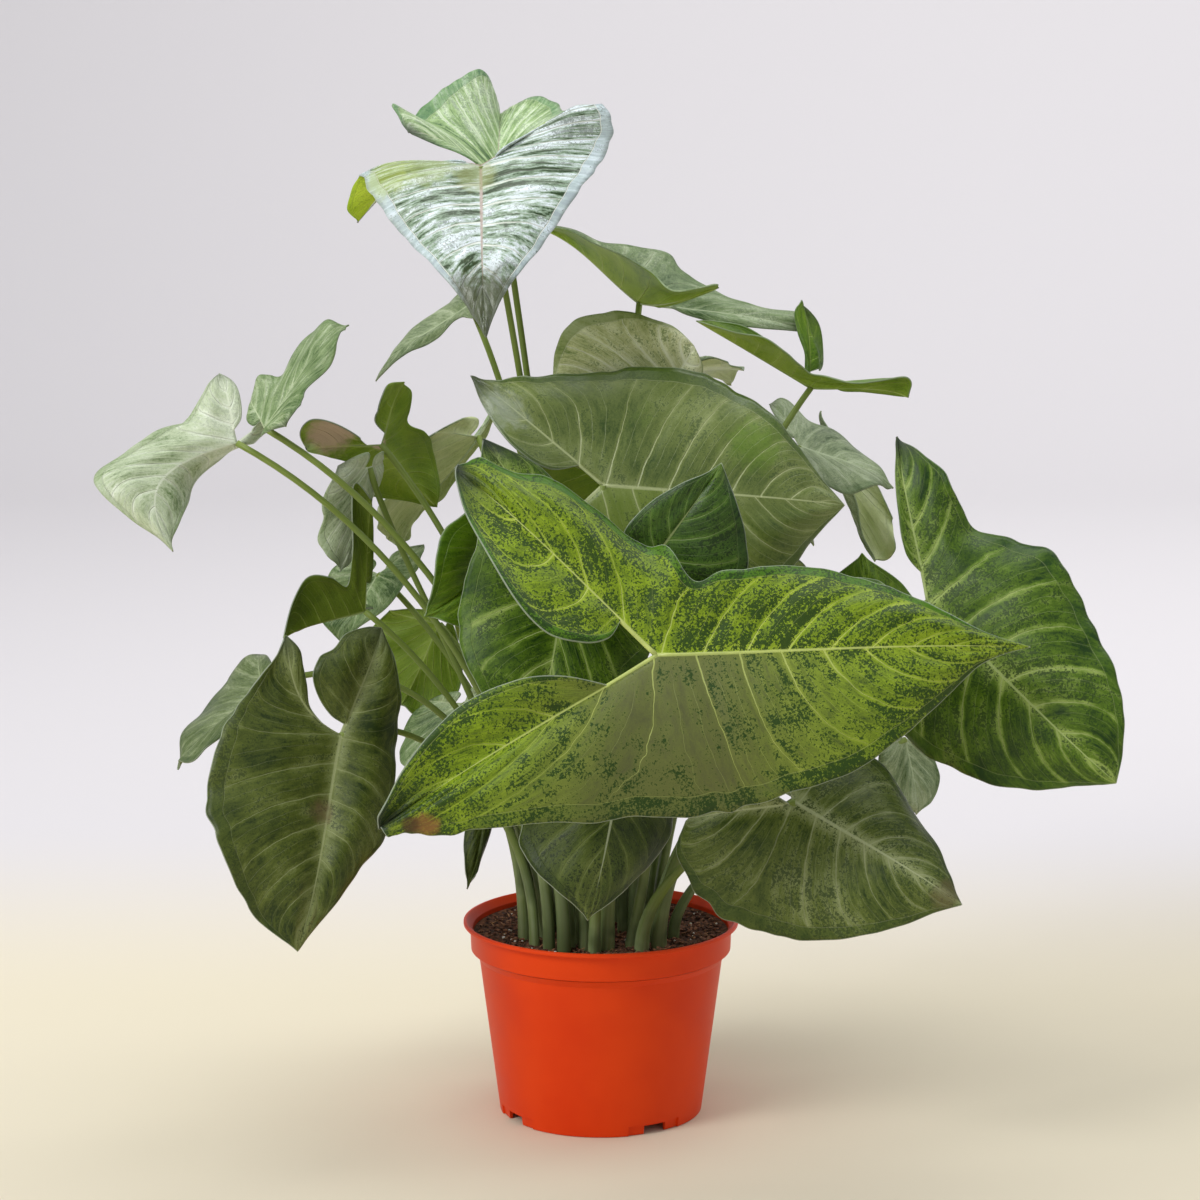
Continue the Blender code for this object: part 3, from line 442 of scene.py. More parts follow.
LEAVES = (
    Leaf("leaf_front_large", join=(24, -125, 240), tip=(186, -105, 240), left=(-63, -85, 315),
         right=(-93, -163, 173), foot=(3, -28), left_outline=FRONT_UPPER, right_outline=FRONT_LOWER,
         arch=0.03, foot_radius=3.2, top_radius=2.0,
         face="lime", pairs=9.0, quilt=0.5, curl=5.0, rumple=1.2, hook=(4, 3), pinch=6.0, rows=190),
    Leaf("leaf_front_upper", join=(1, -40, 303), tip=(111, -25, 292), left=(-59, -25, 351),
         right=(-54, -45, 253), foot=(-2, -8), left_outline=FULL, right_outline=BROAD,
         face="olive", pairs=8.0, quilt=0.35, curl=2.0, rumple=1.0, hook=(3, 2), rows=150),
    Leaf("leaf_front_dark", join=(18, -80, 268), tip=(53, -76, 317), left=(-14, -82, 263),
         right=(33, -81, 238), foot=(14, -22), left_outline=NARROW, right_outline=WIDE,
         bow=(14, -8, 0),
         face="dark"),
    Leaf("leaf_behind_front", join=(-14, -58, 270), tip=(-30, -78, 183), left=(20, -54, 262),
         right=(-53, -48, 325), foot=(-8, -27), right_outline=STRAIGHT,
         face="mottled"),
    Leaf("leaf_behind_front_left", join=(-37, -20, 273), tip=(-80, -45, 244), left=(-17, -15, 254),
         right=(-41, -28, 304), foot=(-9, -18),
         face="fresh", back="back_fresh"),
    Leaf("leaf_right_large", join=(147, -51, 251), tip=(227, -91, 177), left=(135, -21, 323),
         right=(79, -16, 243), foot=(27, -24), left_outline=RIGHT_OUTER, right_outline=RIGHT_INNER,
         foot_radius=3.0, top_radius=1.8,
         face="mottled", pairs=7.0, quilt=0.4, rumple=1.0, ripple=1.3, hook=(5, 0), rows=150),
    Leaf("leaf_right_round", join=(86, -90, 168), tip=(157, -115, 128), left=(64, -58, 200),
         right=(38, -78, 157), foot=(19, -30), left_outline=ROUND, right_outline=ROUND,
         foot_radius=2.8, top_radius=1.8,
         face="feathered", pairs=7.0, quilt=0.35, ripple=1.3, rows=130),
    Leaf("leaf_right_small_silver", join=(150, 70, 164), tip=(155, 62, 128), left=(168, 82, 165),
         right=(137, 62, 163), foot=(34, -6), left_outline=NARROW,
         face="soft_silver"),
    Leaf("leaf_right_silver", join=(95, 40, 312), tip=(137, 15, 295), left=(82, 75, 329),
         right=(84, 18, 306), foot=(18, 4),
         face="soft_silver"),
    Leaf("leaf_right_back", join=(116, 85, 299), tip=(133, 60, 254), left=(108, 92, 324),
         right=(132, 76, 294), foot=(26, 14), left_outline=ROUND, bow=(6, 0, 8),
         face="soft_silver", back="pale_back_painted_backlight"),
    Leaf("leaf_right_dark", join=(128, 25, 220), tip=(124, 32, 262), left=(102, 25, 210),
         right=(156, 35, 206), foot=(25, -12),
         face="fresh", back="back_fresh"),
    Leaf("leaf_low_middle", join=(9, -75, 179), tip=(-6, -88, 114), left=(40, -55, 189),
         right=(-27, -70, 192), foot=(-3, -35),
         face="deep"),
    Leaf("leaf_pale_dome", join=(33, 6, 344), tip=(-23, -2, 345), left=(41, 6, 321),
         right=(43, 12, 362), foot=(10, 4), left_outline=ROUND, right_outline=ROUND,
         face="dome", back="dome"),
    Leaf("leaf_top_front", join=(-54, -20, 445), tip=(-50, -80, 372), left=(-9, 0, 471),
         right=(-97, 0, 457), foot=(-5, 2), left_outline=SHORT_LOBED, right_outline=SHORT_LOBED,
         right_drop=(-15, 8, -38), bow=(-9, 0, 0),
         face="snow", back="back_lime", pairs=8.0, quilt=0.45, curl=6.0, sweep=0.06, rows=170),
    Leaf("leaf_top_back", join=(-48, 22, 441), tip=(-49, 98, 461), left=(-88, 5, 460),
         right=(-20, 8, 458), foot=(-6, 12), left_outline=CRESTED, arch=0.152, fold=(0.9, -0.3),
         bow=(-9, 0, 0),
         face="mint", pairs=9.0, quilt=0.2, rumple=0.3, ripple=0.0),
    Leaf("leaf_top_hanging", join=(-62, 45, 379), tip=(-105, 17, 345), left=(-48, 35, 382),
         right=(-48, 76, 400), foot=(-13, 15), left_outline=THIN_WAISTED, right_outline=NARROW,
         bow=(5, 0, 0),
         face="soft_silver", back="back_fresh"),
    Leaf("leaf_upper_right_wide", join=(18, 25, 381), tip=(-33, 45, 416), left=(53, -28, 375),
         right=(98, 45, 366), foot=(4, 12), right_outline=TRAILING, left_drop=(0, 0, 16),
         face="silver", back="back_fresh"),
    Leaf("leaf_upper_right_far", join=(99, 30, 341), tip=(44, 5, 374), left=(143, 12, 338),
         right=(95, 48, 379), foot=(15, -5), left_outline=THIN_WAISTED, right_outline=UPRIGHT,
         arch=0.0,
         face="fresh", back="back_fresh"),
    Leaf("leaf_left_underside", join=(-103, 20, 315), tip=(-79, 56, 281), left=(-137, 8, 314),
         right=(-93, 38, 343), foot=(-15, -25), left_outline=HUNCHED, right_outline=STAR,
         face="dark", back="back_blotched"),
    Leaf("leaf_left_pale", join=(-60, 86, 312), tip=(-98, 68, 258), left=(-80, 66, 316),
         right=(-44, 96, 331), foot=(-17, -8), right_outline=ROUND,
         face="silver", back="pale_back_painted_backlight", ripple=2.4),
    Leaf("leaf_left_silver", join=(-108, 12, 305), tip=(-122, 6, 257), left=(-103, 20, 308),
         right=(-122, 2, 307), foot=(-31, 0), arc=0.15,
         face="frost", back="frost"),
    Leaf("leaf_left_dark", join=(-110, 0, 239), tip=(-146, -22, 230), left=(-106, -4, 292),
         right=(-117, 22, 236), foot=(-26, -8), left_outline=THIN_WAISTED,
         face="dark", back="back_deep"),
    Leaf("leaf_left_pale_low", join=(-107, 45, 250), tip=(-124, 40, 216), left=(-84, 32, 266),
         right=(-123, 52, 256), foot=(-24, 6),
         face="silver", back="pale_back_painted_backlight"),
    Leaf("leaf_left_green_low", join=(-78, 55, 224), tip=(-96, 35, 188), left=(-103, 65, 229),
         right=(-67, 48, 205), foot=(-20, 14),
         face="fresh", back="back_fresh"),
    Leaf("leaf_left_inner_low", join=(-66, 18, 192), tip=(-85, 8, 158), left=(-55, 18, 198),
         right=(-83, 26, 191), foot=(-28, 14),
         face="silver", back="pale_back_painted_backlight"),
    Leaf("leaf_low_left_large", join=(-117, -60, 192), tip=(-134, -100, 103), left=(-100, -35, 237),
         right=(-142, -55, 237), foot=(-31, -20), left_outline=DROOP_INNER, right_outline=DROOP_OUTER,
         arc=0.3, bow=(0, 22, 32),
         face="drooping", pairs=7.0, quilt=0.4, rumple=1.2, ripple=1.3, rows=140),
    Leaf("leaf_low_left_silver", join=(-157, -15, 205), tip=(-194, -35, 171), left=(-156, -32, 200),
         right=(-161, 20, 215), foot=(-36, -9), left_outline=NARROW, bow=(0, 6, 52),
         face="sage"),
    Leaf("leaf_far_left_front", join=(-166, -20, 320), tip=(-191, -57, 275), left=(-144, 13, 336),
         right=(-176, 0, 350), foot=(-24, -29), left_outline=BLUNT, right_outline=LONG_BACKED,
         arch=0.10, sway=(-22.4, 0, 4), arc=0.64,
         face="frost", pairs=7.0, quilt=0.7, ripple=0.3),
    Leaf("leaf_far_left_back", join=(-152, -32, 328), tip=(-115, -10, 373), left=(-160, -8, 339),
         right=(-141, -44, 330), foot=(-17, -33), left_outline=NARROW, right_outline=NARROW, arc=0.64,
         face="silver", back="back_blotched"),
    Leaf("leaf_low_hanging", join=(-52, 26, 152), tip=(-64, 16, 102), left=(-45, 30, 160),
         right=(-60, 26, 160), foot=(-20, 21), left_outline=NARROW, right_outline=NARROW,
         face="deep"),
    Leaf("leaf_back_middle", join=(12, 122, 296), tip=(2, 168, 208), left=(-24, 98, 334),
         right=(57, 98, 334), foot=(2, 27), left_outline=BROAD, right_outline=BROAD,
         face="feathered", rumple=0.6),
    Leaf("leaf_back_right", join=(80, 104, 232), tip=(122, 152, 172), left=(34, 104, 256),
         right=(88, 60, 256), foot=(24, 25),
         face="mottled"),
    Leaf("leaf_back_left", join=(-42, 105, 234), tip=(-58, 158, 166), left=(-64, 74, 266),
         right=(-3, 92, 264), foot=(-14, 26),
         face="olive"),
    Leaf("leaf_back_low", join=(34, 112, 188), tip=(74, 152, 152), left=(-2, 112, 205),
         right=(34, 76, 205), foot=(13, 34),
         face="dark"),
    Leaf("leaf_back_upper", join=(30, 95, 340), tip=(66, 137, 333), left=(0, 100, 350),
         right=(45, 60, 350), foot=(9, 20),
         face="silver", back="pale_back_painted_backlight"),
    Leaf("leaf_back_shoulder", join=(72, 118, 300), tip=(110, 158, 248), left=(36, 120, 322),
         right=(72, 84, 322), foot=(17, 15),
         face="olive"),
)


def only(*items):
    """Select these objects and nothing else; the last one becomes the active one."""
    bpy.ops.object.select_all(action="DESELECT")
    for item in items:
        item.select_set(True)
    bpy.context.view_layer.objects.active = items[-1]


def in_edit(item, *steps):
    """Run steps on an object in edit mode, with whatever is selected in its mesh."""
    only(item)
    bpy.ops.object.mode_set(mode="EDIT")
    for step in steps:
        step()
    bpy.ops.object.mode_set(mode="OBJECT")


def whole(step):
    """The same step, after all of the mesh is selected."""
    def run():
        bpy.ops.mesh.select_all(action="SELECT")
        step()
    return run


def weld():
    bpy.ops.mesh.remove_doubles(threshold=0.00004)


def outwards():
    bpy.ops.mesh.normals_make_consistent(inside=False)


def pick(mesh, chosen):
    """Select just these vertices of a mesh, before edit mode is entered."""
    mesh.polygons.foreach_set("select", [False] * len(mesh.polygons))
    mesh.edges.foreach_set("select", [False] * len(mesh.edges))
    mesh.vertices.foreach_set("select", chosen)
    bpy.context.tool_settings.mesh_select_mode = (True, False, False)


def finish_with(item, kind, **settings):
    """Add a modifier and apply it."""
    only(item)
    modifier = item.modifiers.new(kind.lower(), kind)
    for setting, value in settings.items():
        setattr(modifier, setting, value)
    bpy.ops.object.modifier_apply(modifier=modifier.name)


def joined(name, *items):
    only(*items)
    bpy.ops.object.join()
    whole_piece = bpy.context.object
    whole_piece.name = name
    whole_piece.data.name = name
    return whole_piece


class Paint:
    """One material's nodes. Each call adds a node and returns its output."""

    def __init__(self, name):
        self.made = bpy.data.materials.new(name)
        self.made.use_nodes = True
        self.nodes = self.made.node_tree.nodes
        self.links = self.made.node_tree.links
        self.shader = self.nodes["Principled BSDF"]

    def put(self, value, socket):
        """Set a socket to a number or colour, or link an output to it."""
        if isinstance(value, bpy.types.NodeSocket):
            self.links.new(value, socket)
        else:
            socket.default_value = value

    def set(self, **values):
        for name, value in values.items():
            self.put(value, self.shader.inputs[name.replace("_", " ").title().replace("Ior", "IOR")])

    def sum(self, operation, first, second=0.0, third=0.0):
        node = self.nodes.new("ShaderNodeMath")
        node.operation = operation
        for socket, value in zip(node.inputs, (first, second, third)):
            self.put(value, socket)
        return node.outputs[0]

    def times(self, first, second):
        return self.sum("MULTIPLY", first, second)

    def minus(self, first, second=0.5):
        return self.sum("SUBTRACT", first, second)

    def heaped(self, start, *terms):
        """The start with each term (value, weight) added to it."""
        for value, weight in terms:
            start = self.sum("MULTIPLY_ADD", value, weight, start)
        return start

    def smooth(self, value, low, high, start=0.0, end=1.0):
        """From start below low to end above high, with a soft step between."""
        node = self.nodes.new("ShaderNodeMapRange")
        node.interpolation_type = "SMOOTHSTEP"
        for socket, item in zip(node.inputs, (value, low, high, start, end)):
            self.put(item, socket)
        return node.outputs[0]

    def blend(self, share, first, second):
        node = self.nodes.new("ShaderNodeMix")
        node.data_type = "RGBA"
        for index, value in ((0, share), (6, first), (7, second)):
            self.put(value, node.inputs[index])
        return node.outputs[2]

    def layer(self, name):
        """The two values of one of the mesh's UV maps."""
        source = self.nodes.new("ShaderNodeUVMap")
        source.uv_map = name
        split = self.nodes.new("ShaderNodeSeparateXYZ")
        self.links.new(source.outputs[0], split.inputs[0])
        return split.outputs[0], split.outputs[1]

    def place(self):
        return self.nodes.new("ShaderNodeTexCoord").outputs["Object"]

    def near(self, spot, radius):
        """1 at a place given in mm, fading to 0 round the radius with an uneven edge."""
        node = self.nodes.new("ShaderNodeVectorMath")
        node.operation = "DISTANCE"
        self.links.new(self.place(), node.inputs[0])
        node.inputs[1].default_value = mm(spot)
        grain = self.minus(self.noise(self.place(), 260.0))
        uneven = self.heaped(node.outputs["Value"], (grain, radius * MM))
        return self.smooth(uneven, radius * 0.6 * MM, radius * 1.3 * MM, 1.0, 0.0)

    def vector(self, x, y, z=0.0):
        node = self.nodes.new("ShaderNodeCombineXYZ")
        for socket, value in zip(node.inputs, (x, y, z)):
            self.put(value, socket)
        return node.outputs[0]

    def noise(self, vector, scale, detail=3.0, rough=0.55, bent=0.0):
        node = self.nodes.new("ShaderNodeTexNoise")
        self.links.new(vector, node.inputs["Vector"])
        for name, value in (("Scale", scale), ("Detail", detail), ("Roughness", rough), ("Distortion", bent)):
            node.inputs[name].default_value = value
        return node.outputs[0]

    def ramp(self, value, *stops):
        """Colour by value, from (place, colour) stops."""
        node = self.nodes.new("ShaderNodeValToRGB")
        band = node.color_ramp
        while len(band.elements) < len(stops):
            band.elements.new(0.5)
        for element, (place, colour) in zip(band.elements, stops):
            element.position = place
            element.color = colour
        self.put(value, node.inputs[0])
        return node.outputs[0]

    def bump(self, height):
        """Relief from a height in millimetres."""
        node = self.nodes.new("ShaderNodeBump")
        node.inputs["Strength"].default_value = 1.0
        node.inputs["Distance"].default_value = MM
        self.put(height, node.inputs["Height"])
        self.links.new(node.outputs[0], self.shader.inputs["Normal"])


@dataclass(frozen=True)
class Finish:
    """Colours and markings of one face of a leaf; colours are as rgb() takes them."""
    deep: tuple
    mid: tuple
    pale: tuple
    vein: tuple
    edge: tuple
    bias: float = 0.5         # how pale the face is between its markings
    feather: float = 0.12     # paler along the side veins
    feather_reach: float = 2.2    # mm
    heart: float = 0.1        # paler along the ribs
    cloud: float = 0.35       # large soft patches
    streak: float = 0.3       # streaks along the side veins
    streak_rate: float = 3.0  # streaks for each side vein
    dash: float = 0.25        # short fine dashes along the side veins
    speckle: float = 0.0      # strength of the dark grains
    speck_from: float = 0.53  # how crowded the grains are; lower is more
    edge_share: float = 0.25  # how far the band outside the margin vein takes the edge colour
    right_edge: float = 1.0   # the same for the right half, as a part of that
    band_specks: float = -0.06    # how much more crowded the grains are in that band; less, if negative
    right_specks: float = 0.0     # and how much more on the right half
    margin_share: float = 0.35    # how plainly the margin vein shows beside the side veins
    vein_share: float = 0.6
    vein_width: float = 0.36  # mm, half the width of a side vein at its start
    rib: tuple = ()           # colour of the midrib, where it isn't that of the veins
    rim: float = 0.35         # strength of the fine pale line round the edge
    # Colour laid over the right half near the join: painted shade on the lime face, the leaf's own lime green
    # on the olive face
    right_tint_and_shade: tuple = (0, 0, 0)
    right_tint_and_shade_share: float = 0.0   # how far the right half takes that colour, near the join
    tip_share: float = 0.0    # how dark the lobes' tips are
    rough: float = 0.42
    shine: float = 0.28
    relief: float = -0.16     # mm that the side veins are raised or, if negative, sunk
    marks: tuple = ()         # (place, radius in mm, colour, strength) of scorched or coloured spots, and of painted sheen


def underside(*colours, **markings):
    """The finish of a leaf's underside: dull, with raised veins and only faint markings."""
    faint = {"feather": 0.05, "cloud": 0.35, "streak": 0.12, "dash": 0.15, "speckle": 0.4,
             "speck_from": 0.575, "vein_share": 0.5, "rim": 0.1, "rough": 0.5, "relief": 0.22}
    return Finish(*colours, **{**faint, **markings})


FINISHES = {
    "lime": Finish(
        (32, 62, 8), (134, 160, 24), (186, 206, 70), (196, 208, 116), (54, 106, 8),
        bias=0.50, feather=0.08, cloud=0.2, streak=0.25, dash=0.4, speckle=0.95, speck_from=0.475,
        edge_share=0.8, right_edge=0.1, band_specks=-0.03, right_specks=0.09, rim=0.5,
        # Painted shade: the right half near the join is dulled to a grey olive.
        right_tint_and_shade=(94, 97, 58), right_tint_and_shade_share=0.86, tip_share=0.92,
        marks=(((-73, -166, 174), 6.0, (156, 108, 58), 0.7),
               ((-79, -166, 175), 4.0, (84, 56, 30), 0.75),
               ((164, -106, 235), 1.2, (120, 72, 36), 1.0))),
    "olive": Finish(
        (50, 76, 14), (108, 124, 58), (154, 166, 108), (190, 200, 146), (48, 80, 14),
        bias=0.48, cloud=0.4, streak=0.2, dash=0.25, speckle=0.7, speck_from=0.565,
        edge_share=0.45, band_specks=0.04, vein_share=0.75, right_tint_and_shade=(116, 142, 30), right_tint_and_shade_share=0.45,
        tip_share=0.8, rough=0.34, shine=0.5,
        marks=(((72, -40, 326), 17.0, (98, 136, 14), 0.5),
               ((20, -40, 340), 13.0, (98, 134, 20), 0.4),
               # Painted sheen: this greyish-white patch on the front upper leaf's left lobe stands in for a
               # highlight.
               ((-46, -30, 332), 13.0, (168, 178, 160), 0.6))),
    "dark": Finish(
        (20, 42, 10), (70, 102, 32), (112, 138, 58), (150, 168, 108), (24, 52, 24),
        bias=0.46, streak=0.25, dash=0.35, speckle=0.85, speck_from=0.52, edge_share=0.45,
        vein_share=0.35, rib=(150, 164, 108), rim=0.5, tip_share=0.9, rough=0.36),
    "deep": Finish(
        (20, 38, 8), (76, 90, 32), (112, 124, 62), (140, 150, 104), (26, 48, 12),
        bias=0.48, cloud=0.45, streak=0.15, dash=0.3, speckle=0.85, speck_from=0.535,
        edge_share=0.3, band_specks=0.02, vein_share=0.16, rib=(170, 178, 146), rim=0.6,
        tip_share=0.3, rough=0.4),
    "fresh": Finish(
        (44, 76, 8), (92, 126, 22), (132, 162, 44), (146, 170, 80), (50, 88, 12),
        streak=0.2, dash=0.3, speckle=0.7, speck_from=0.55, vein_share=0.4, tip_share=0.7),
    "feathered": Finish(
        (40, 60, 12), (94, 108, 44), (146, 156, 106), (178, 186, 144), (44, 72, 14),
        bias=0.46, feather_reach=2.4, heart=0.36, cloud=0.4, streak=0.35, streak_rate=4.0, dash=0.4,
        speckle=0.85, speck_from=0.54, band_specks=0.03, vein_share=0.45, rim=0.45, tip_share=0.3,
        marks=(((150, -112, 132), 7.0, (104, 88, 66), 0.5),)),
    "mottled": Finish(
        (26, 56, 6), (86, 116, 22), (154, 176, 90), (172, 190, 120), (38, 78, 10),
        bias=0.46, feather=0.2, feather_reach=2.8, heart=0.22, cloud=0.45, streak=0.38, dash=0.4,
        speckle=0.85, speck_from=0.515, rim=0.4, tip_share=0.9),
    "drooping": Finish(
        (34, 50, 8), (84, 96, 34), (126, 136, 82), (158, 166, 118), (46, 66, 12),
        bias=0.45, feather=0.10, feather_reach=3.0, heart=0.34, cloud=0.5, dash=0.35,
        speckle=0.7, speck_from=0.55, band_specks=0.02, vein_share=0.4, rim=0.5, tip_share=0.6,
        marks=(((-128, -76, 160), 8.0, (106, 84, 62), 0.6),)),
    "silver": Finish(
        (60, 90, 36), (132, 154, 104), (190, 204, 168), (188, 202, 160), (80, 112, 52),
        cloud=0.5, streak=0.45, dash=0.45, speckle=0.55, edge_share=0.35, vein_share=0.5, rim=0.2,
        tip_share=0.5, rough=0.4),
    "soft_silver": Finish(
        (64, 88, 44), (136, 152, 112), (186, 198, 164), (182, 196, 158), (76, 102, 52),
        cloud=0.5, streak=0.35, dash=0.4, speckle=0.5, speck_from=0.55, edge_share=0.35,
        vein_share=0.4, rim=0.15, tip_share=0.5),
    "sage": Finish(
        (46, 70, 26), (98, 114, 68), (152, 164, 124), (152, 166, 124), (56, 80, 34),
        cloud=0.5, streak=0.35, dash=0.4, speckle=0.55, speck_from=0.55, edge_share=0.4,
        vein_share=0.4, tip_share=0.5),
    "frost": Finish(
        (92, 118, 66), (184, 198, 162), (226, 234, 214), (222, 230, 206), (112, 138, 84),
        bias=0.52, cloud=0.4, streak=0.22, dash=0.35, speckle=0.35, speck_from=0.56, edge_share=0.3,
        vein_share=0.65, rim=0.2, rough=0.36, tip_share=0.4, relief=-0.3),
    "snow": Finish(
        (40, 64, 26), (150, 174, 148), (234, 245, 250), (236, 242, 230), (204, 220, 228),
        bias=0.54, feather=0.08, feather_reach=2.6, heart=0.08, cloud=0.15, streak=1.3, streak_rate=3.2,
        dash=0.6, speckle=0.6, speck_from=0.56, edge_share=0.66, margin_share=1.0, vein_share=0.95,
        vein_width=0.6, rib=(176, 152, 140), rim=0.1, rough=0.3, shine=0.5, relief=-0.3,
        marks=(((-96, -20, 441), 12.0, (168, 186, 74), 0.55),
               ((-78, -20, 444), 12.0, (158, 176, 84), 0.5),
               ((-56, -25, 441), 9.0, (146, 156, 88), 0.6),
               ((-50, -78, 378), 27.0, (72, 78, 44), 0.88))),
    "mint": Finish(
        (56, 96, 46), (156, 186, 122), (222, 238, 206), (222, 232, 194), (84, 134, 92),
        bias=0.52, cloud=0.45, streak=0.7, dash=0.6, speckle=0.55, edge_share=0.5, vein_share=0.8,
        rib=(196, 186, 156), rim=0.1, rough=0.36, tip_share=0.85),
    "dome": Finish(
        (96, 118, 48), (178, 184, 128), (222, 226, 186), (228, 232, 200), (104, 126, 56),
        bias=0.56, cloud=0.45, streak=0.35, dash=0.4, speckle=0.75, speck_from=0.57, edge_share=0.6,
        vein_share=0.7, vein_width=0.7, rim=0.1),
    "back_green": underside(
        (64, 94, 8), (112, 136, 32), (144, 164, 62), (164, 180, 96), (72, 100, 18)),
    "back_blotched": underside(
        (72, 104, 10), (124, 150, 34), (156, 178, 62), (172, 188, 102), (78, 108, 18),
        marks=(((-126, 10, 324), 13.0, (196, 166, 152), 0.85),
               ((-138, 8, 308), 9.0, (172, 198, 132), 0.9),
               ((-103, 20, 315), 4.0, (212, 184, 174), 0.9))),
    "back_deep": underside(
        (50, 70, 6), (82, 102, 16), (112, 132, 38), (138, 152, 72), (56, 78, 10),
        cloud=0.4, speckle=0.45, speck_from=0.565, vein_share=0.55),
    "back_fresh": underside(
        (76, 110, 14), (128, 156, 44), (168, 190, 84), (184, 200, 116), (84, 116, 24),
        cloud=0.4, streak=0.15, dash=0.2, speckle=0.35, vein_share=0.45),
    "back_lime": underside(
        (92, 130, 10), (158, 186, 30), (196, 216, 70), (206, 220, 110), (110, 146, 16),
        cloud=0.7, streak=0.15, dash=0.3, speckle=0.5, speck_from=0.56, vein_share=0.45),
    # Partly the underside's own pale colour, partly painted light: it is lifted nearly to white, standing in
    # for light that shines through the leaf from behind.
    "pale_back_painted_backlight": underside(
        (156, 174, 104), (206, 216, 160), (232, 238, 200), (228, 236, 196), (156, 174, 104),
        cloud=0.45, streak=0.2, dash=0.25, speckle=0.35, speck_from=0.565, vein_share=0.45),
}


def leaf_paint(name, finish):
    """A leaf's face: veins and markings follow the blade, grains and clouds are spread through it."""
    paint = Paint("leaf_" + name)
    deep, mid, pale = rgb(*finish.deep), rgb(*finish.mid), rgb(*finish.pale)
    count, out = paint.layer("veins")
    half_reach, from_edge = paint.layer("reach")
    pace, way = paint.layer("pace")
    place = paint.place()
    cloud = paint.noise(place, 34.0, 2.0)
    count = paint.heaped(count, (paint.minus(paint.noise(place, 70.0, 2.0)), 0.16))
    from_rib = paint.sum("ABSOLUTE", half_reach)
    right = paint.smooth(half_reach, -0.8, 0.8)
    far = paint.sum("ABSOLUTE", out)
    near_join = paint.times(paint.smooth(way, -0.6, -0.05), paint.smooth(way, 0.1, 0.6, 1.0, 0.1))

    def off_line(times):
        """Millimetres from the nearest of the side veins, or of times as many lines."""
        turns = paint.sum("MULTIPLY_ADD", count, times, 0.5)
        share = paint.sum("ABSOLUTE", paint.minus(paint.sum("FRACT", turns)))
        return paint.times(share, paint.sum("DIVIDE", pace, times))

    def line(distance, width):
        inner, outer = paint.times(width, 0.5), paint.times(width, 1.5)
        return paint.smooth(distance, inner, outer, 1.0, 0.0)

    def strokes(rate, length, seed):
        """Streaks that run out along the side veins."""
        across = paint.times(count, rate)
        spread = paint.vector(across, paint.times(out, length), paint.sum("ADD", right, seed))
        return paint.noise(spread, 1.0, 4.0, 0.65, 0.3)

    off_vein = off_line(1.0)
    slim = paint.smooth(far, 0.0, 1.0, finish.vein_width, 0.3 * finish.vein_width)
    side_vein = line(off_vein, slim)
    small_vein = paint.times(line(off_line(3.0), 0.13), paint.smooth(far, 0.05, 0.3))
    rib = line(from_rib, paint.smooth(paint.sum("ABSOLUTE", way), 0.0, 1.0, 0.8, 0.28))
    to_margin = paint.minus(paint.times(from_rib, 1 - MARGIN_VEIN), paint.times(from_edge, MARGIN_VEIN))
    margin_vein = line(paint.sum("ABSOLUTE", to_margin), 0.2)
    band = paint.smooth(to_margin, -0.8, 0.8)
    inside = paint.minus(1.0, band)
    side_vein = paint.times(side_vein, inside)
    small_vein = paint.times(small_vein, inside)
    glow = paint.times(paint.smooth(off_vein, 0.0, finish.feather_reach, 1.0, 0.0), inside)
    rib_glow = paint.smooth(from_rib, 0.0, 8.0, 1.0, 0.0)
    streak = strokes(finish.streak_rate, 1.3, 0.0)
    dash = strokes(2.7 * finish.streak_rate, 7.0, 4.0)
    grain = paint.noise(place, 900.0, 4.0, 0.75)
    tone = paint.heaped(
        finish.bias, (glow, finish.feather), (rib_glow, finish.heart),
        (paint.minus(cloud), 2 * finish.cloud), (paint.minus(streak), 2 * finish.streak),
        (paint.minus(dash), 2 * finish.dash), (paint.minus(grain), 0.5))
    colour = paint.ramp(tone, (0.22, deep), (0.5, mid), (0.82, pale))
    # The right half near the join takes the finish's half colour: painted shade on the lime face, a real tint
    # on the olive face.
    tinted_and_shaded = paint.times(paint.times(right, near_join), finish.right_tint_and_shade_share)
    colour = paint.blend(tinted_and_shaded, colour, rgb(*finish.right_tint_and_shade))
    crowd = paint.heaped(
        grain, (paint.minus(cloud), 0.30), (paint.minus(paint.noise(place, 110.0, 2.0)), 0.35),
        (paint.minus(streak), 0.35), (paint.minus(dash), 0.40), (band, finish.band_specks),
        (paint.times(band, right), finish.right_specks), (tinted_and_shaded, -0.10), (glow, -0.12))
    speck_start = finish.speck_from
    specks = paint.times(paint.smooth(crowd, speck_start, speck_start + 0.045), finish.speckle)
    plain_band = paint.times(band, paint.smooth(half_reach, -0.8, 0.8, 1.0, finish.right_edge))
    colour = paint.blend(paint.times(plain_band, finish.edge_share), colour, rgb(*finish.edge))
    colour = paint.blend(specks, colour, deep)
    lines = paint.sum("MAXIMUM", paint.times(side_vein, 0.9), paint.times(margin_vein, finish.margin_share))
    lines = paint.sum("MAXIMUM", lines, paint.times(small_vein, 0.3))
    colour = paint.blend(paint.times(lines, finish.vein_share), colour, rgb(*finish.vein))
    colour = paint.blend(paint.times(rib, 0.8), colour, rgb(*(finish.rib or finish.vein)))
    uneven_way = paint.heaped(way, (paint.minus(grain), 0.25))
    dark_tip = paint.times(paint.smooth(uneven_way, -0.97, -0.72, 1.0, 0.0), finish.tip_share)
    colour = paint.blend(dark_tip, colour, rgb(28, 40, 32))
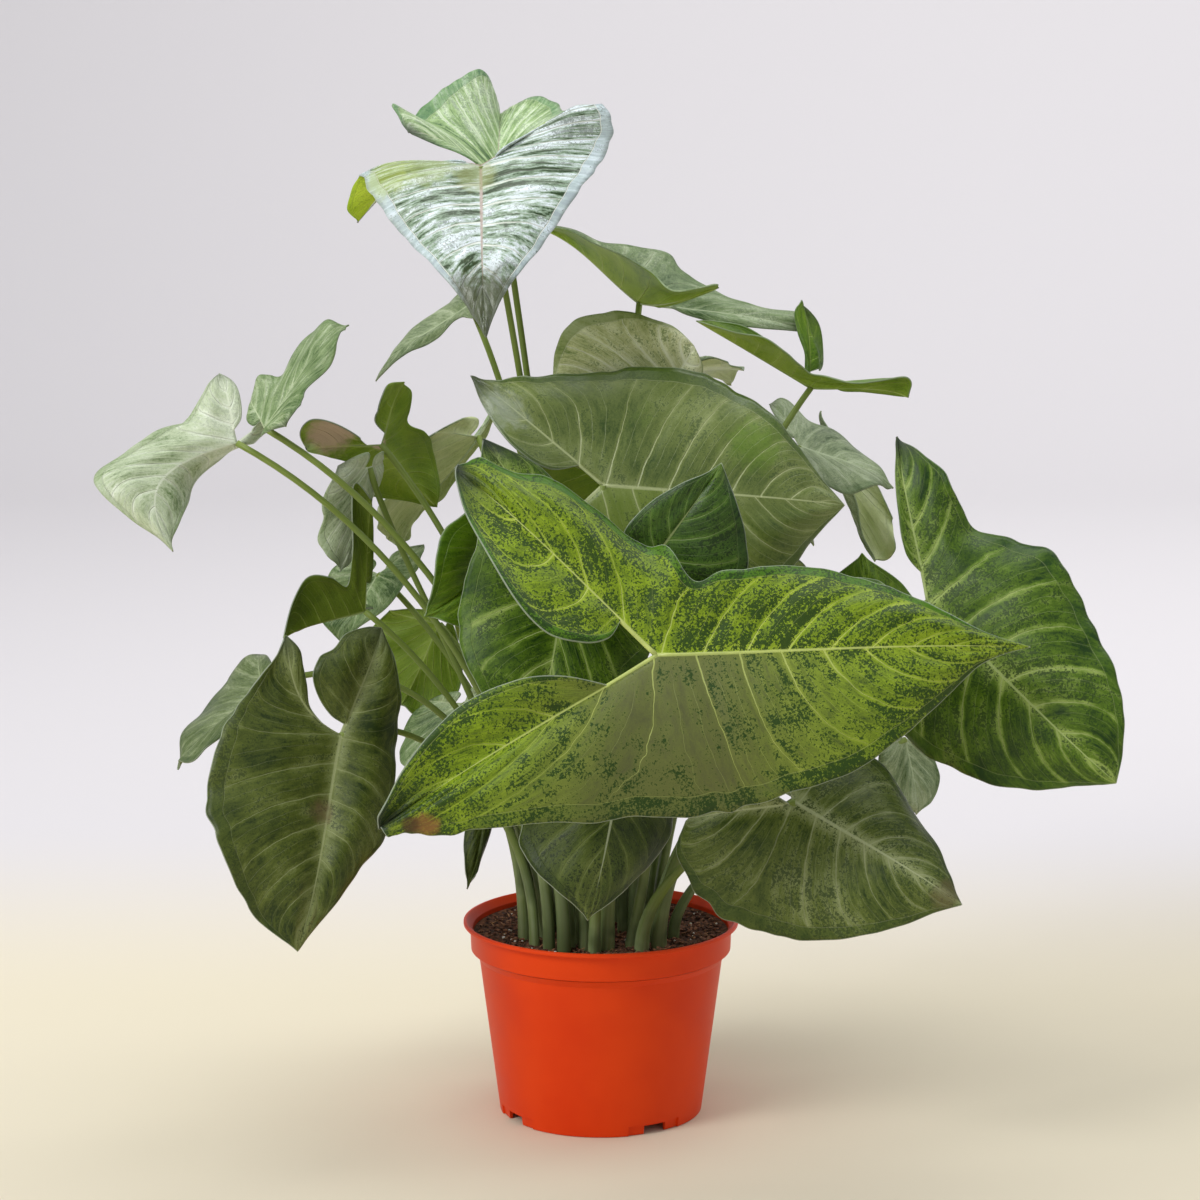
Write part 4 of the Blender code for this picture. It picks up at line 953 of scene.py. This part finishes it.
    # Marks: scorched and coloured spots, and on the olive face one patch of painted sheen.
    for spot, radius, spot_colour, strength in finish.marks:
        share = paint.times(paint.near(spot, radius), strength)
        colour = paint.blend(share, colour, rgb(*spot_colour))
    rim = paint.times(paint.smooth(from_edge, 0.15, 0.5, 1.0, 0.0), finish.rim)
    colour = paint.blend(rim, colour, rgb(190, 200, 180))
    raised = paint.times(paint.sum("MAXIMUM", side_vein, margin_vein), finish.relief)
    paint.bump(paint.heaped(raised, (small_vein, finish.relief * 0.45), (streak, 0.18), (grain, 0.12)))
    roughness = paint.heaped(finish.rough, (paint.minus(cloud), 0.25))
    paint.set(base_color=colour, roughness=roughness, specular_ior_level=finish.shine)
    return paint.made


def stalk_paint():
    """Stalks: sheathed foot, greener above, with fine lengthwise lines; some stay pale, others get painted
    shade over their lower part.
    """
    paint = Paint("leaf_stalk")
    along, around = paint.layer("veins")
    lengthwise = paint.vector(paint.times(along, 2.0), paint.times(around, 9.0))
    lines = paint.noise(lengthwise, 1.0, 3.0)
    cloud = paint.noise(paint.place(), 42.0, 2.0)
    tone = paint.heaped(along, (paint.minus(lines), 0.7), (paint.minus(cloud), 0.6))
    colour = paint.ramp(tone, (0.0, rgb(140, 154, 110)), (0.3, rgb(108, 124, 66)), (0.8, rgb(104, 122, 48)),
                        (1.0, rgb(128, 146, 70)))
    # Painted shade: in patches, the lower part of the stalks is darkened towards a deep green.
    painted_foot_shade = paint.smooth(along, 0.0, 0.45, 0.8, 0.0)
    painted_foot_shade = paint.times(painted_foot_shade, paint.smooth(cloud, 0.42, 0.56, 1.0, 0.0))
    colour = paint.blend(painted_foot_shade, colour, rgb(60, 76, 32))
    paint.bump(paint.times(lines, 0.12))
    paint.set(base_color=colour, roughness=0.45, specular_ior_level=0.3)
    return paint.made


def rib_paint(name, colour):
    paint = Paint("leaf_rib_" + name)
    cloud = paint.noise(paint.place(), 120.0, 3.0)
    paint.set(base_color=paint.blend(paint.smooth(cloud, 0.3, 0.7, 0.0, 0.3), colour, rgb(120, 134, 70)),
              roughness=0.4)
    return paint.made


def between_stops(stops, row):
    """The value at a row, evenly spaced between the stops (row, value)."""
    for (first_row, first), (last_row, last) in zip(stops, stops[1:]):
        if row <= last_row:
            return first + (last - first) * (row - first_row) / (last_row - first_row)
    return stops[-1][1]


def half_blade(blade, side, number):
    """One half of a blade: a grid laid on the surface, its spare cells beyond the bare rib removed."""
    leaf = blade.leaf
    width = COLUMNS + INNER_COLUMNS
    bpy.ops.mesh.primitive_grid_add(x_subdivisions=leaf.rows, y_subdivisions=width, size=2, calc_uvs=False)
    half = bpy.context.object
    mesh = half.data
    waist, bare = blade.outlines[side].waist, blade.bare(side)
    lobe_rows = round(leaf.rows * LOBE_ROWS)
    inner_rows = min(lobe_rows - 1, round(lobe_rows * bare / waist))
    stops = ((0, 0.0), (inner_rows, bare), (lobe_rows, waist), (leaf.rows, 1.0))
    laid = {}
    for row in range(leaf.rows + 1):
        u = between_stops(stops, row)
        first = -INNER_COLUMNS if row <= inner_rows else 0
        for column in range(first, COLUMNS + 1):
            v = column / COLUMNS if column >= 0 else column / INNER_COLUMNS
            laid[row, column] = blade.point(side, u, v), blade.vein(side, u, v), v, blade.way(side, u)
    values = {}
    for (row, column), (spot, count, v, way) in laid.items():
        last = COLUMNS if column >= 0 else -INNER_COLUMNS
        from_rib = (spot - laid[row, 0][0]).length / MM
        from_edge = (laid[row, last][0] - spot).length / MM
        ahead = laid.get((row + 1, column), laid[row, column])
        behind = laid.get((row - 1, column), laid[row, column])
        pace = (ahead[0] - behind[0]).length / MM / max(abs(ahead[1] - behind[1]), 0.001)
        values[row, column] = ((count + 7 * number, v), (side * from_rib, from_edge), (pace, way))
    seats = []
    for vertex in mesh.vertices:
        row = round((vertex.co.x + 1) / 2 * leaf.rows)
        column = round((vertex.co.y + 1) / 2 * width) - INNER_COLUMNS
        seats.append((row, column))
    spare = [seat not in laid for seat in seats]
    for vertex, seat in zip(mesh.vertices, seats):
        if seat in laid:
            vertex.co = laid[seat][0]
    nothing = ((0.0, 0.0),) * 3
    corners = [values.get(seats[loop.vertex_index], nothing) for loop in mesh.loops]
    for index, name in enumerate(("veins", "reach", "pace")):
        layer = mesh.uv_layers.new(name=name)
        layer.data.foreach_set("uv", [number for corner in corners for number in corner[index]])
    pick(mesh, spare)
    in_edit(half, lambda: bpy.ops.mesh.delete(type="VERT"))
    if side > 0:
        in_edit(half, whole(bpy.ops.mesh.flip_normals))
    return half


def wrapped(name, line, sides, groove=0.0, inward=Vector((0, 1, 0))):
    """A closed rod along (place, radius) points, with a groove down the side that faces inward."""
    steps = len(line) + 1
    bpy.ops.mesh.primitive_grid_add(x_subdivisions=steps, y_subdivisions=sides, size=2, calc_uvs=False)
    rod = bpy.context.object
    mesh = rod.data
    ends = [(line[0][0], 0.0)] + list(line) + [(line[-1][0], 0.0)]
    values = []
    for vertex in mesh.vertices:
        step = round((vertex.co.x + 1) / 2 * steps)
        share = (vertex.co.y + 1) / 2
        here, radius = ends[step]
        following = ends[min(step + 1, steps)][0]
        before = ends[max(step - 1, 0)][0]
        run = (following - before).normalized()
        face = (inward - run * inward.dot(run)).normalized()
        across = run.cross(face)
        angle = math.tau * share
        near = 1 - math.cos(angle)
        depth = groove * (1 - step / steps) * math.exp(-6 * near)
        vertex.co = here + (face * math.cos(angle) + across * math.sin(angle)) * radius * (1 - depth)
        values.append((step / steps, share))
    for label in ("veins", "reach", "pace"):
        layer = mesh.uv_layers.new(name=label)
        layer.data.foreach_set("uv", [n for loop in mesh.loops for n in values[loop.vertex_index]])
    in_edit(rod, whole(weld), whole(outwards))
    rod.name = name
    return rod


def bezier(points, t):
    a, b, c, d = points
    return a * (1 - t) ** 3 + b * 3 * t * (1 - t) ** 2 + c * 3 * t * t * (1 - t) + d * t ** 3


def stalk(leaf):
    """The leaf's stalk: upright out of the mix, sheathed and grooved below, slim above."""
    foot = mm((leaf.foot[0], leaf.foot[1], FREE_FROM))
    join = mm(leaf.join)
    rise = join.z - foot.z
    bow = mm(leaf.bow)
    first = foot + Vector((0, 0, rise * 0.35)) + bow
    last = join.lerp(foot, leaf.arc) + bow
    last.z = join.z - rise * 0.21 + bow.z
    line = [(mm((leaf.foot[0], leaf.foot[1], FREE_FROM - BURIED)), leaf.foot_radius * MM)]
    breadth = 0.5 + 1.8 * (sum(leaf.join) * 0.137 % 1.0)
    for step in range(STALK_STEPS + 1):
        t = step / STALK_STEPS
        sheath = breadth * max(0.0, 1 - t / SHEATHED)
        slim = leaf.foot_radius + (leaf.top_radius - leaf.foot_radius) * min(1.0, t / SLIM_FROM)
        line.append((bezier((foot, first, last, join), t), (slim + sheath * 0.6) * MM))
    inward = Vector((-leaf.foot[0], -leaf.foot[1] + 4, 12)).normalized()
    rod = wrapped(leaf.name + "_stalk", line, STALK_SIDES, GROOVE, inward)
    rod.data.materials.append(STALK)
    return rod


def rib(blade, name, side, way_from, way_to, radius, paint):
    """A rib under the blade, from the join out along a lobe or the midrib, tapering to its end."""
    line = []
    waist = blade.outlines[side].waist
    for step in range(RIB_STEPS + 1):
        t = step / RIB_STEPS
        way = way_from + (way_to - way_from) * t
        u = waist * (1 + way) if way < 0 else waist + way * (1 - waist)
        size = radius * (1 - 0.86 * t ** 0.8)
        place = blade.point(side, u, 0.0) - blade.up * size * 0.45
        line.append((place, size))
    rod = wrapped(name, line, RIB_SIDES, inward=blade.up)
    rod.data.materials.append(paint)
    return rod


def build_leaf(leaf, number):
    blade = Blade(leaf)
    halves = [half_blade(blade, side, number) for side in (-1, 1)]
    sheet = joined(leaf.name, *halves)
    in_edit(sheet, whole(weld))
    sheet.data.materials.append(FACES[leaf.face])
    sheet.data.materials.append(FACES[leaf.back])
    finish_with(sheet, "SOLIDIFY", thickness=BLADE_THICKNESS * MM, offset=0.0, material_offset=1,
                use_quality_normals=True)
    thick = RIB_THICKNESS * blade.length
    paint = RIBS[leaf.face]
    ribs = [
        rib(blade, "midrib", 1, 0.0, 0.97, thick, paint),
        rib(blade, "left_rib", -1, 0.0, -0.93, thick * 0.9, paint),
        rib(blade, "right_rib", 1, 0.0, -0.93, thick * 0.9, paint),
    ]
    made = joined(leaf.name, stalk(leaf), *ribs, sheet)
    made.data.shade_smooth()
    made.name = leaf.name + "_grown"
    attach(made, "root")
    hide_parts(leaf.name)


def rounded(profile, radius, steps=3):
    """The profile with each corner replaced by a short curve that starts radius away from it."""
    points = []
    count = len(profile)
    for index, corner in enumerate(profile):
        here = Vector(corner)
        before, after = Vector(profile[index - 1]), Vector(profile[(index + 1) % count])
        if here.x == 0:
            points.append(here)
            continue
        reach_before = min(radius, (before - here).length * 0.45)
        reach_after = min(radius, (after - here).length * 0.45)
        start = here + (before - here).normalized() * reach_before
        end = here + (after - here).normalized() * reach_after
        for step in range(steps + 1):
            t = step / steps
            points.append(start * (1 - t) ** 2 + here * 2 * t * (1 - t) + end * t * t)
    return points


def turned(name, profile, segments):
    """A turned body: a circle extruded and scaled from point to point of a (radius, height) profile."""
    radius, height = profile[0]
    bpy.ops.mesh.primitive_circle_add(vertices=segments, radius=radius * MM, location=(0, 0, height * MM))
    body = bpy.context.object
    body.name = name
    bpy.ops.object.transform_apply(location=True)
    bpy.ops.object.mode_set(mode="EDIT")
    bpy.ops.mesh.select_all(action="SELECT")
    for following_radius, following_height in profile[1:]:
        bpy.ops.mesh.extrude_region_move(
            TRANSFORM_OT_translate={"value": (0, 0, (following_height - height) * MM)})
        share = max(following_radius, 0.02) / radius
        bpy.ops.transform.resize(value=(share, share, 1))
        radius, height = max(following_radius, 0.02), following_height
    bpy.ops.object.mode_set(mode="OBJECT")
    return body


def cut_out(body, cutter):
    """Take a cutter's shape out of a body, and the cutter away."""
    finish_with(body, "BOOLEAN", operation="DIFFERENCE", object=cutter, solver="EXACT")
    bpy.data.objects.remove(cutter)


def wall_radius(height):
    """Radius of the pot's outside below the shoulder."""
    slope = (SHOULDER_RADIUS - FOOT_RADIUS) / SHOULDER_BOTTOM
    return FOOT_RADIUS + slope * height


def pot_paint():
    """Thermoformed plastic: orange-red, softly glossy, with a faint grain and handling marks."""
    paint = Paint("orange_red_plastic")
    place = paint.place()
    fine = paint.noise(place, 1400.0, 2.0)
    soft = paint.noise(place, 22.0, 3.0)
    colour = paint.blend(paint.smooth(soft, 0.3, 0.7), rgb(219, 56, 0), rgb(229, 66, 4))
    paint.bump(paint.times(fine, 0.03))
    paint.set(base_color=colour, roughness=paint.smooth(soft, 0.25, 0.75, 0.4, 0.52), specular_ior_level=0.2)
    return paint.made


def press_panels(pot, foot_inside):
    """Press the foot's outer wall in a little on both sides of each notch."""
    for vertex in pot.data.vertices:
        radius = math.hypot(vertex.co.x, vertex.co.y)
        if vertex.co.z > (PANEL_HEIGHT + 0.1) * MM or radius < (foot_inside + 0.6) * MM:
            continue
        turn = math.degrees(math.atan2(vertex.co.y, vertex.co.x)) + 90
        off = min(((turn - notch + 180) % 360 - 180 for notch in NOTCH_TURNS), key=abs)
        pressed = abs(off) < PANEL_TURN
        if abs(abs(off) - PANEL_TURN) < 360 / POT_SEGMENTS:
            side = PANEL_TURN + (-0.1 if pressed else 0.1)
            turn += math.copysign(side, off) - off
        if pressed:
            radius -= PANEL_DEPTH * MM
        vertex.co.x = radius * math.cos(math.radians(turn - 90))
        vertex.co.y = radius * math.sin(math.radians(turn - 90))


def build_pot():
    foot_inside = FOOT_RADIUS - FOOT_WIDTH
    panel_radius = wall_radius(PANEL_HEIGHT)
    lip = rounded((
        (63.6, POT_HEIGHT), (RIM_RADIUS, POT_HEIGHT - 0.4), (RIM_RADIUS, POT_HEIGHT - 1.8),
        (BAND_RADIUS + 0.5, POT_HEIGHT - 2.4), (BAND_RADIUS + 0.05, BAND_BOTTOM + 0.8),
        (BAND_RADIUS - 1.2, BAND_BOTTOM + 0.3), (SHOULDER_RADIUS + 1.6, SHOULDER_BOTTOM + 3.6),
        (SHOULDER_RADIUS + 0.5, SHOULDER_BOTTOM + 3.0), (SHOULDER_RADIUS + 0.1, SHOULDER_BOTTOM + 1.0),
        (panel_radius + 0.05, PANEL_HEIGHT + 0.3), (panel_radius, PANEL_HEIGHT), (FOOT_RADIUS, 0.0),
        (foot_inside, 0.0),
        (foot_inside - 0.3, FLOOR_UNDERSIDE), (0.0, FLOOR_UNDERSIDE), (0.0, FLOOR_TOP),
        (wall_radius(FLOOR_TOP) - WALL, FLOOR_TOP), (SHOULDER_RADIUS - WALL, SHOULDER_BOTTOM - 0.4),
        (BAND_RADIUS - WALL, BAND_BOTTOM), (BAND_RADIUS - WALL + 0.4, POT_HEIGHT - 3.4),
        (62.6, POT_HEIGHT - 1.0),
    ), 0.25)
    pot = turned("pot_shell", [tuple(point) for point in lip] + [tuple(lip[0])], POT_SEGMENTS)
    in_edit(pot, whole(weld), whole(outwards))
    press_panels(pot, foot_inside)
    for turn in NOTCH_TURNS:
        angle = math.radians(turn - 90)
        out = Vector((math.cos(angle), math.sin(angle), 0))
        bpy.ops.mesh.primitive_cube_add(
            size=1.0, location=out * (FOOT_RADIUS - 1) * MM, rotation=(0, 0, angle),
            scale=(NOTCH_DEPTH * MM, NOTCH_WIDTH * MM, 2 * NOTCH_HEIGHT * MM))
        cut_out(pot, bpy.context.object)
    for index in range(DRAIN_COUNT):
        angle = math.tau * (index + 0.5) / DRAIN_COUNT
        bpy.ops.mesh.primitive_cylinder_add(
            vertices=32, radius=DRAIN_RADIUS * MM, depth=10 * MM,
            location=mm((DRAIN_RING * math.cos(angle), DRAIN_RING * math.sin(angle), FLOOR_TOP)))
        cut_out(pot, bpy.context.object)
    only(pot)
    bpy.ops.object.shade_smooth_by_angle(angle=math.radians(38))
    pot.data.materials.append(pot_paint())
    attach(pot, "root")
    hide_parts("pot")


def plain_paint(name, dark, light, rough, scale=300.0, relief=0.2):
    """A mottled finish between two colours."""
    paint = Paint(name)
    spots = paint.noise(paint.place(), scale, 4.0, 0.65)
    paint.bump(paint.times(spots, relief))
    paint.set(base_color=paint.blend(paint.smooth(spots, 0.35, 0.68), dark, light), roughness=rough)
    return paint.made


def soil_height(out):
    """Height of the mix at a distance from the axis: a low crown, and a rise towards the wall."""
    share = out / SOIL_RADIUS
    return SOIL_TOP + SOIL_CROWN * (1 - share ** 2) + SOIL_RISE * max(0.0, (share - 0.5) / 0.5) ** 1.5


def build_mix(draw):
    """The potting mix: a crumbly crowned body, with bark bits, white perlite and straw lying on it."""
    low = FLOOR_TOP + 0.3
    rings = [(SOIL_RADIUS * step / SOIL_RINGS, soil_height(SOIL_RADIUS * step / SOIL_RINGS))
             for step in range(1, SOIL_RINGS + 1)]
    profile = [(0.02, soil_height(0))] + rings + [
        (SOIL_RADIUS - 0.4, BAND_BOTTOM + 0.2), (SHOULDER_RADIUS - WALL - 0.5, SHOULDER_BOTTOM - 0.6),
        (wall_radius(low) - WALL - 0.4, low), (0.0, low)]
    mix = turned("potting_mix_body", profile, SOIL_SEGMENTS)
    in_edit(mix, whole(weld), whole(outwards))
    for vertex in mix.data.vertices:
        out = math.hypot(vertex.co.x, vertex.co.y) / MM
        if vertex.co.z > (SOIL_TOP - 0.5) * MM and out < SOIL_RADIUS - 1:
            rough = noise.noise(vertex.co * 160) * 1.5 + noise.noise(vertex.co * 420) * 1.1
            vertex.co.z += (rough - 0.4) * MM
    mix.data.shade_flat()
    mix.data.materials.append(plain_paint("dark_mix", rgb(46, 25, 15), rgb(122, 76, 50), 0.95, 420.0, 0.5))
    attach(mix, "root")
    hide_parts("potting_mix")
    # Name, how many, size in mm, finish
    kinds = (
        ("dark_bits", 900, (2.6, 1.8, 1.3),
         plain_paint("dark_bark", rgb(40, 21, 12), rgb(104, 62, 40), 0.9, 500.0)),
        ("bark_bits", 620, (3.6, 1.9, 1.1),
         plain_paint("bark", rgb(76, 43, 27), rgb(158, 108, 76), 0.9, 500.0)),
        ("perlite", 90, (1.5, 1.3, 1.1),
         plain_paint("white_perlite", rgb(190, 184, 172), rgb(238, 234, 226), 0.9)),
        ("straw", 130, (6.0, 0.7, 0.4),
         plain_paint("straw_fibre", rgb(120, 78, 48), rgb(186, 138, 96), 0.85)),
    )
    for name, count, size, paint in kinds:
        bits = []
        bpy.ops.mesh.primitive_ico_sphere_add(subdivisions=1, radius=0.5)
        pattern = bpy.context.object
        while len(bits) < count:
            angle = draw.uniform(0, math.tau)
            out = (SOIL_RADIUS - 2.4) * math.sqrt(draw.random())
            x, y = out * math.cos(angle), out * math.sin(angle)
            near = min(math.hypot(x - leaf.foot[0], y - leaf.foot[1]) for leaf in LEAVES)
            turn = Matrix.Rotation(draw.uniform(0, math.tau), 4, "Z")
            turn = turn @ Matrix.Rotation(draw.uniform(-0.5, 0.5), 4, "X")
            grow = draw.uniform(0.5, 1.15)
            tilt = Matrix.Rotation(draw.uniform(-0.45, 0.45), 4, "Y")
            if near < CLEAR_OF_STALK:
                continue
            bit = pattern.copy()
            bit.data = pattern.data.copy()
            for corner in bit.data.vertices:
                corner.co *= draw.uniform(0.7, 1.15)
            height = soil_height(out) + draw.uniform(-0.2, 0.9)
            scale = Matrix.Diagonal((size[0] * grow * MM, size[1] * grow * MM, size[2] * grow * MM, 1))
            bit.data.transform(Matrix.Translation(mm((x, y, height))) @ turn @ tilt @ scale)
            bpy.context.collection.objects.link(bit)
            bits.append(bit)
        bpy.data.objects.remove(pattern)
        heap = joined(name, *bits)
        heap.data.materials.append(paint)
        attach(heap, "root")


def build_studio():
    """A plain pale sweep of floor and backdrop, soft light from the upper left, and the camera."""
    bpy.ops.mesh.primitive_plane_add(size=1, location=(0, 0, 0))
    sweep = bpy.context.object
    sweep.name = "floor"
    near_edge, far_edge, half_width = -4.0, 2.4, 7.0
    places = ((-half_width, near_edge), (half_width, near_edge),
              (-half_width, far_edge), (half_width, far_edge))
    for vertex, (x, y) in zip(sweep.data.vertices, places):
        vertex.co = (x, y, -0.0002)
    pick(sweep.data, [False, False, True, True])
    steps, bend_radius = 16, 1.2
    bpy.ops.object.mode_set(mode="EDIT")
    for step in range(steps):
        low, high = (math.radians(90) * share / steps for share in (step, step + 1))
        move = Vector((0, math.sin(high) - math.sin(low), math.cos(low) - math.cos(high))) * bend_radius
        bpy.ops.mesh.extrude_region_move(TRANSFORM_OT_translate={"value": move})
    bpy.ops.mesh.extrude_region_move(TRANSFORM_OT_translate={"value": (0, 0, 4)})
    bpy.ops.object.mode_set(mode="OBJECT")
    only(sweep)
    bpy.ops.object.shade_smooth_by_angle(angle=math.radians(40))
    paint = Paint("pale_sweep")
    split = paint.nodes.new("ShaderNodeSeparateXYZ")
    paint.links.new(paint.place(), split.inputs[0])
    away = paint.smooth(split.outputs[1], 0.16, 0.6)
    paint.set(base_color=paint.blend(away, rgb(226, 217, 193), rgb(216, 213, 215)), roughness=0.85)
    sweep.data.materials.append(paint.made)
    scene = bpy.context.scene
    world = bpy.data.worlds.new("pale_room")
    scene.world = world
    world.use_nodes = True
    sky = world.node_tree.nodes["Background"]
    sky.inputs["Color"].default_value = rgb(240, 241, 245)
    sky.inputs["Strength"].default_value = 0.56
    for name, place, aim, size, watts in (
        ("window_light", (-1.5, -1.3, 1.6), (0, 0, 0.25), 0.9, 28),
        ("top_light", (-0.5, 0.2, 2.2), (0, 0, 0.3), 1.2, 11),
        ("backdrop_light", (1.1, 1.0, 2.6), (0.5, 3.6, 0.9), 2.4, 62),
    ):
        lamp = bpy.data.lights.new(name, "AREA")
        lamp.size = size
        lamp.energy = watts
        lit = bpy.data.objects.new(name, lamp)
        lit.location = place
        lit.rotation_euler = (Vector(aim) - Vector(place)).to_track_quat("-Z", "Y").to_euler()
        scene.collection.objects.link(lit)
    camera = bpy.data.objects.new("camera", bpy.data.cameras.new("camera"))
    camera.data.sensor_width = 36
    camera.data.lens = CAMERA_LENS
    camera.location = CAMERA_PLACE
    camera.rotation_euler = (math.radians(90 - CAMERA_DIP), 0, 0)
    camera.data.clip_start, camera.data.clip_end = 0.05, 400
    scene.collection.objects.link(camera)
    scene.camera = camera
    scene.view_settings.view_transform = "Standard"


bpy.ops.object.select_all(action="DESELECT")
FACES = {name: leaf_paint(name, finish) for name, finish in FINISHES.items()}
RIBS = {name: rib_paint(name, rgb(*(finish.rib or finish.vein))) for name, finish in FINISHES.items()}
STALK = stalk_paint()
for number, leaf in enumerate(LEAVES):
    build_leaf(leaf, number)
build_pot()
build_mix(random.Random(7))
build_studio()
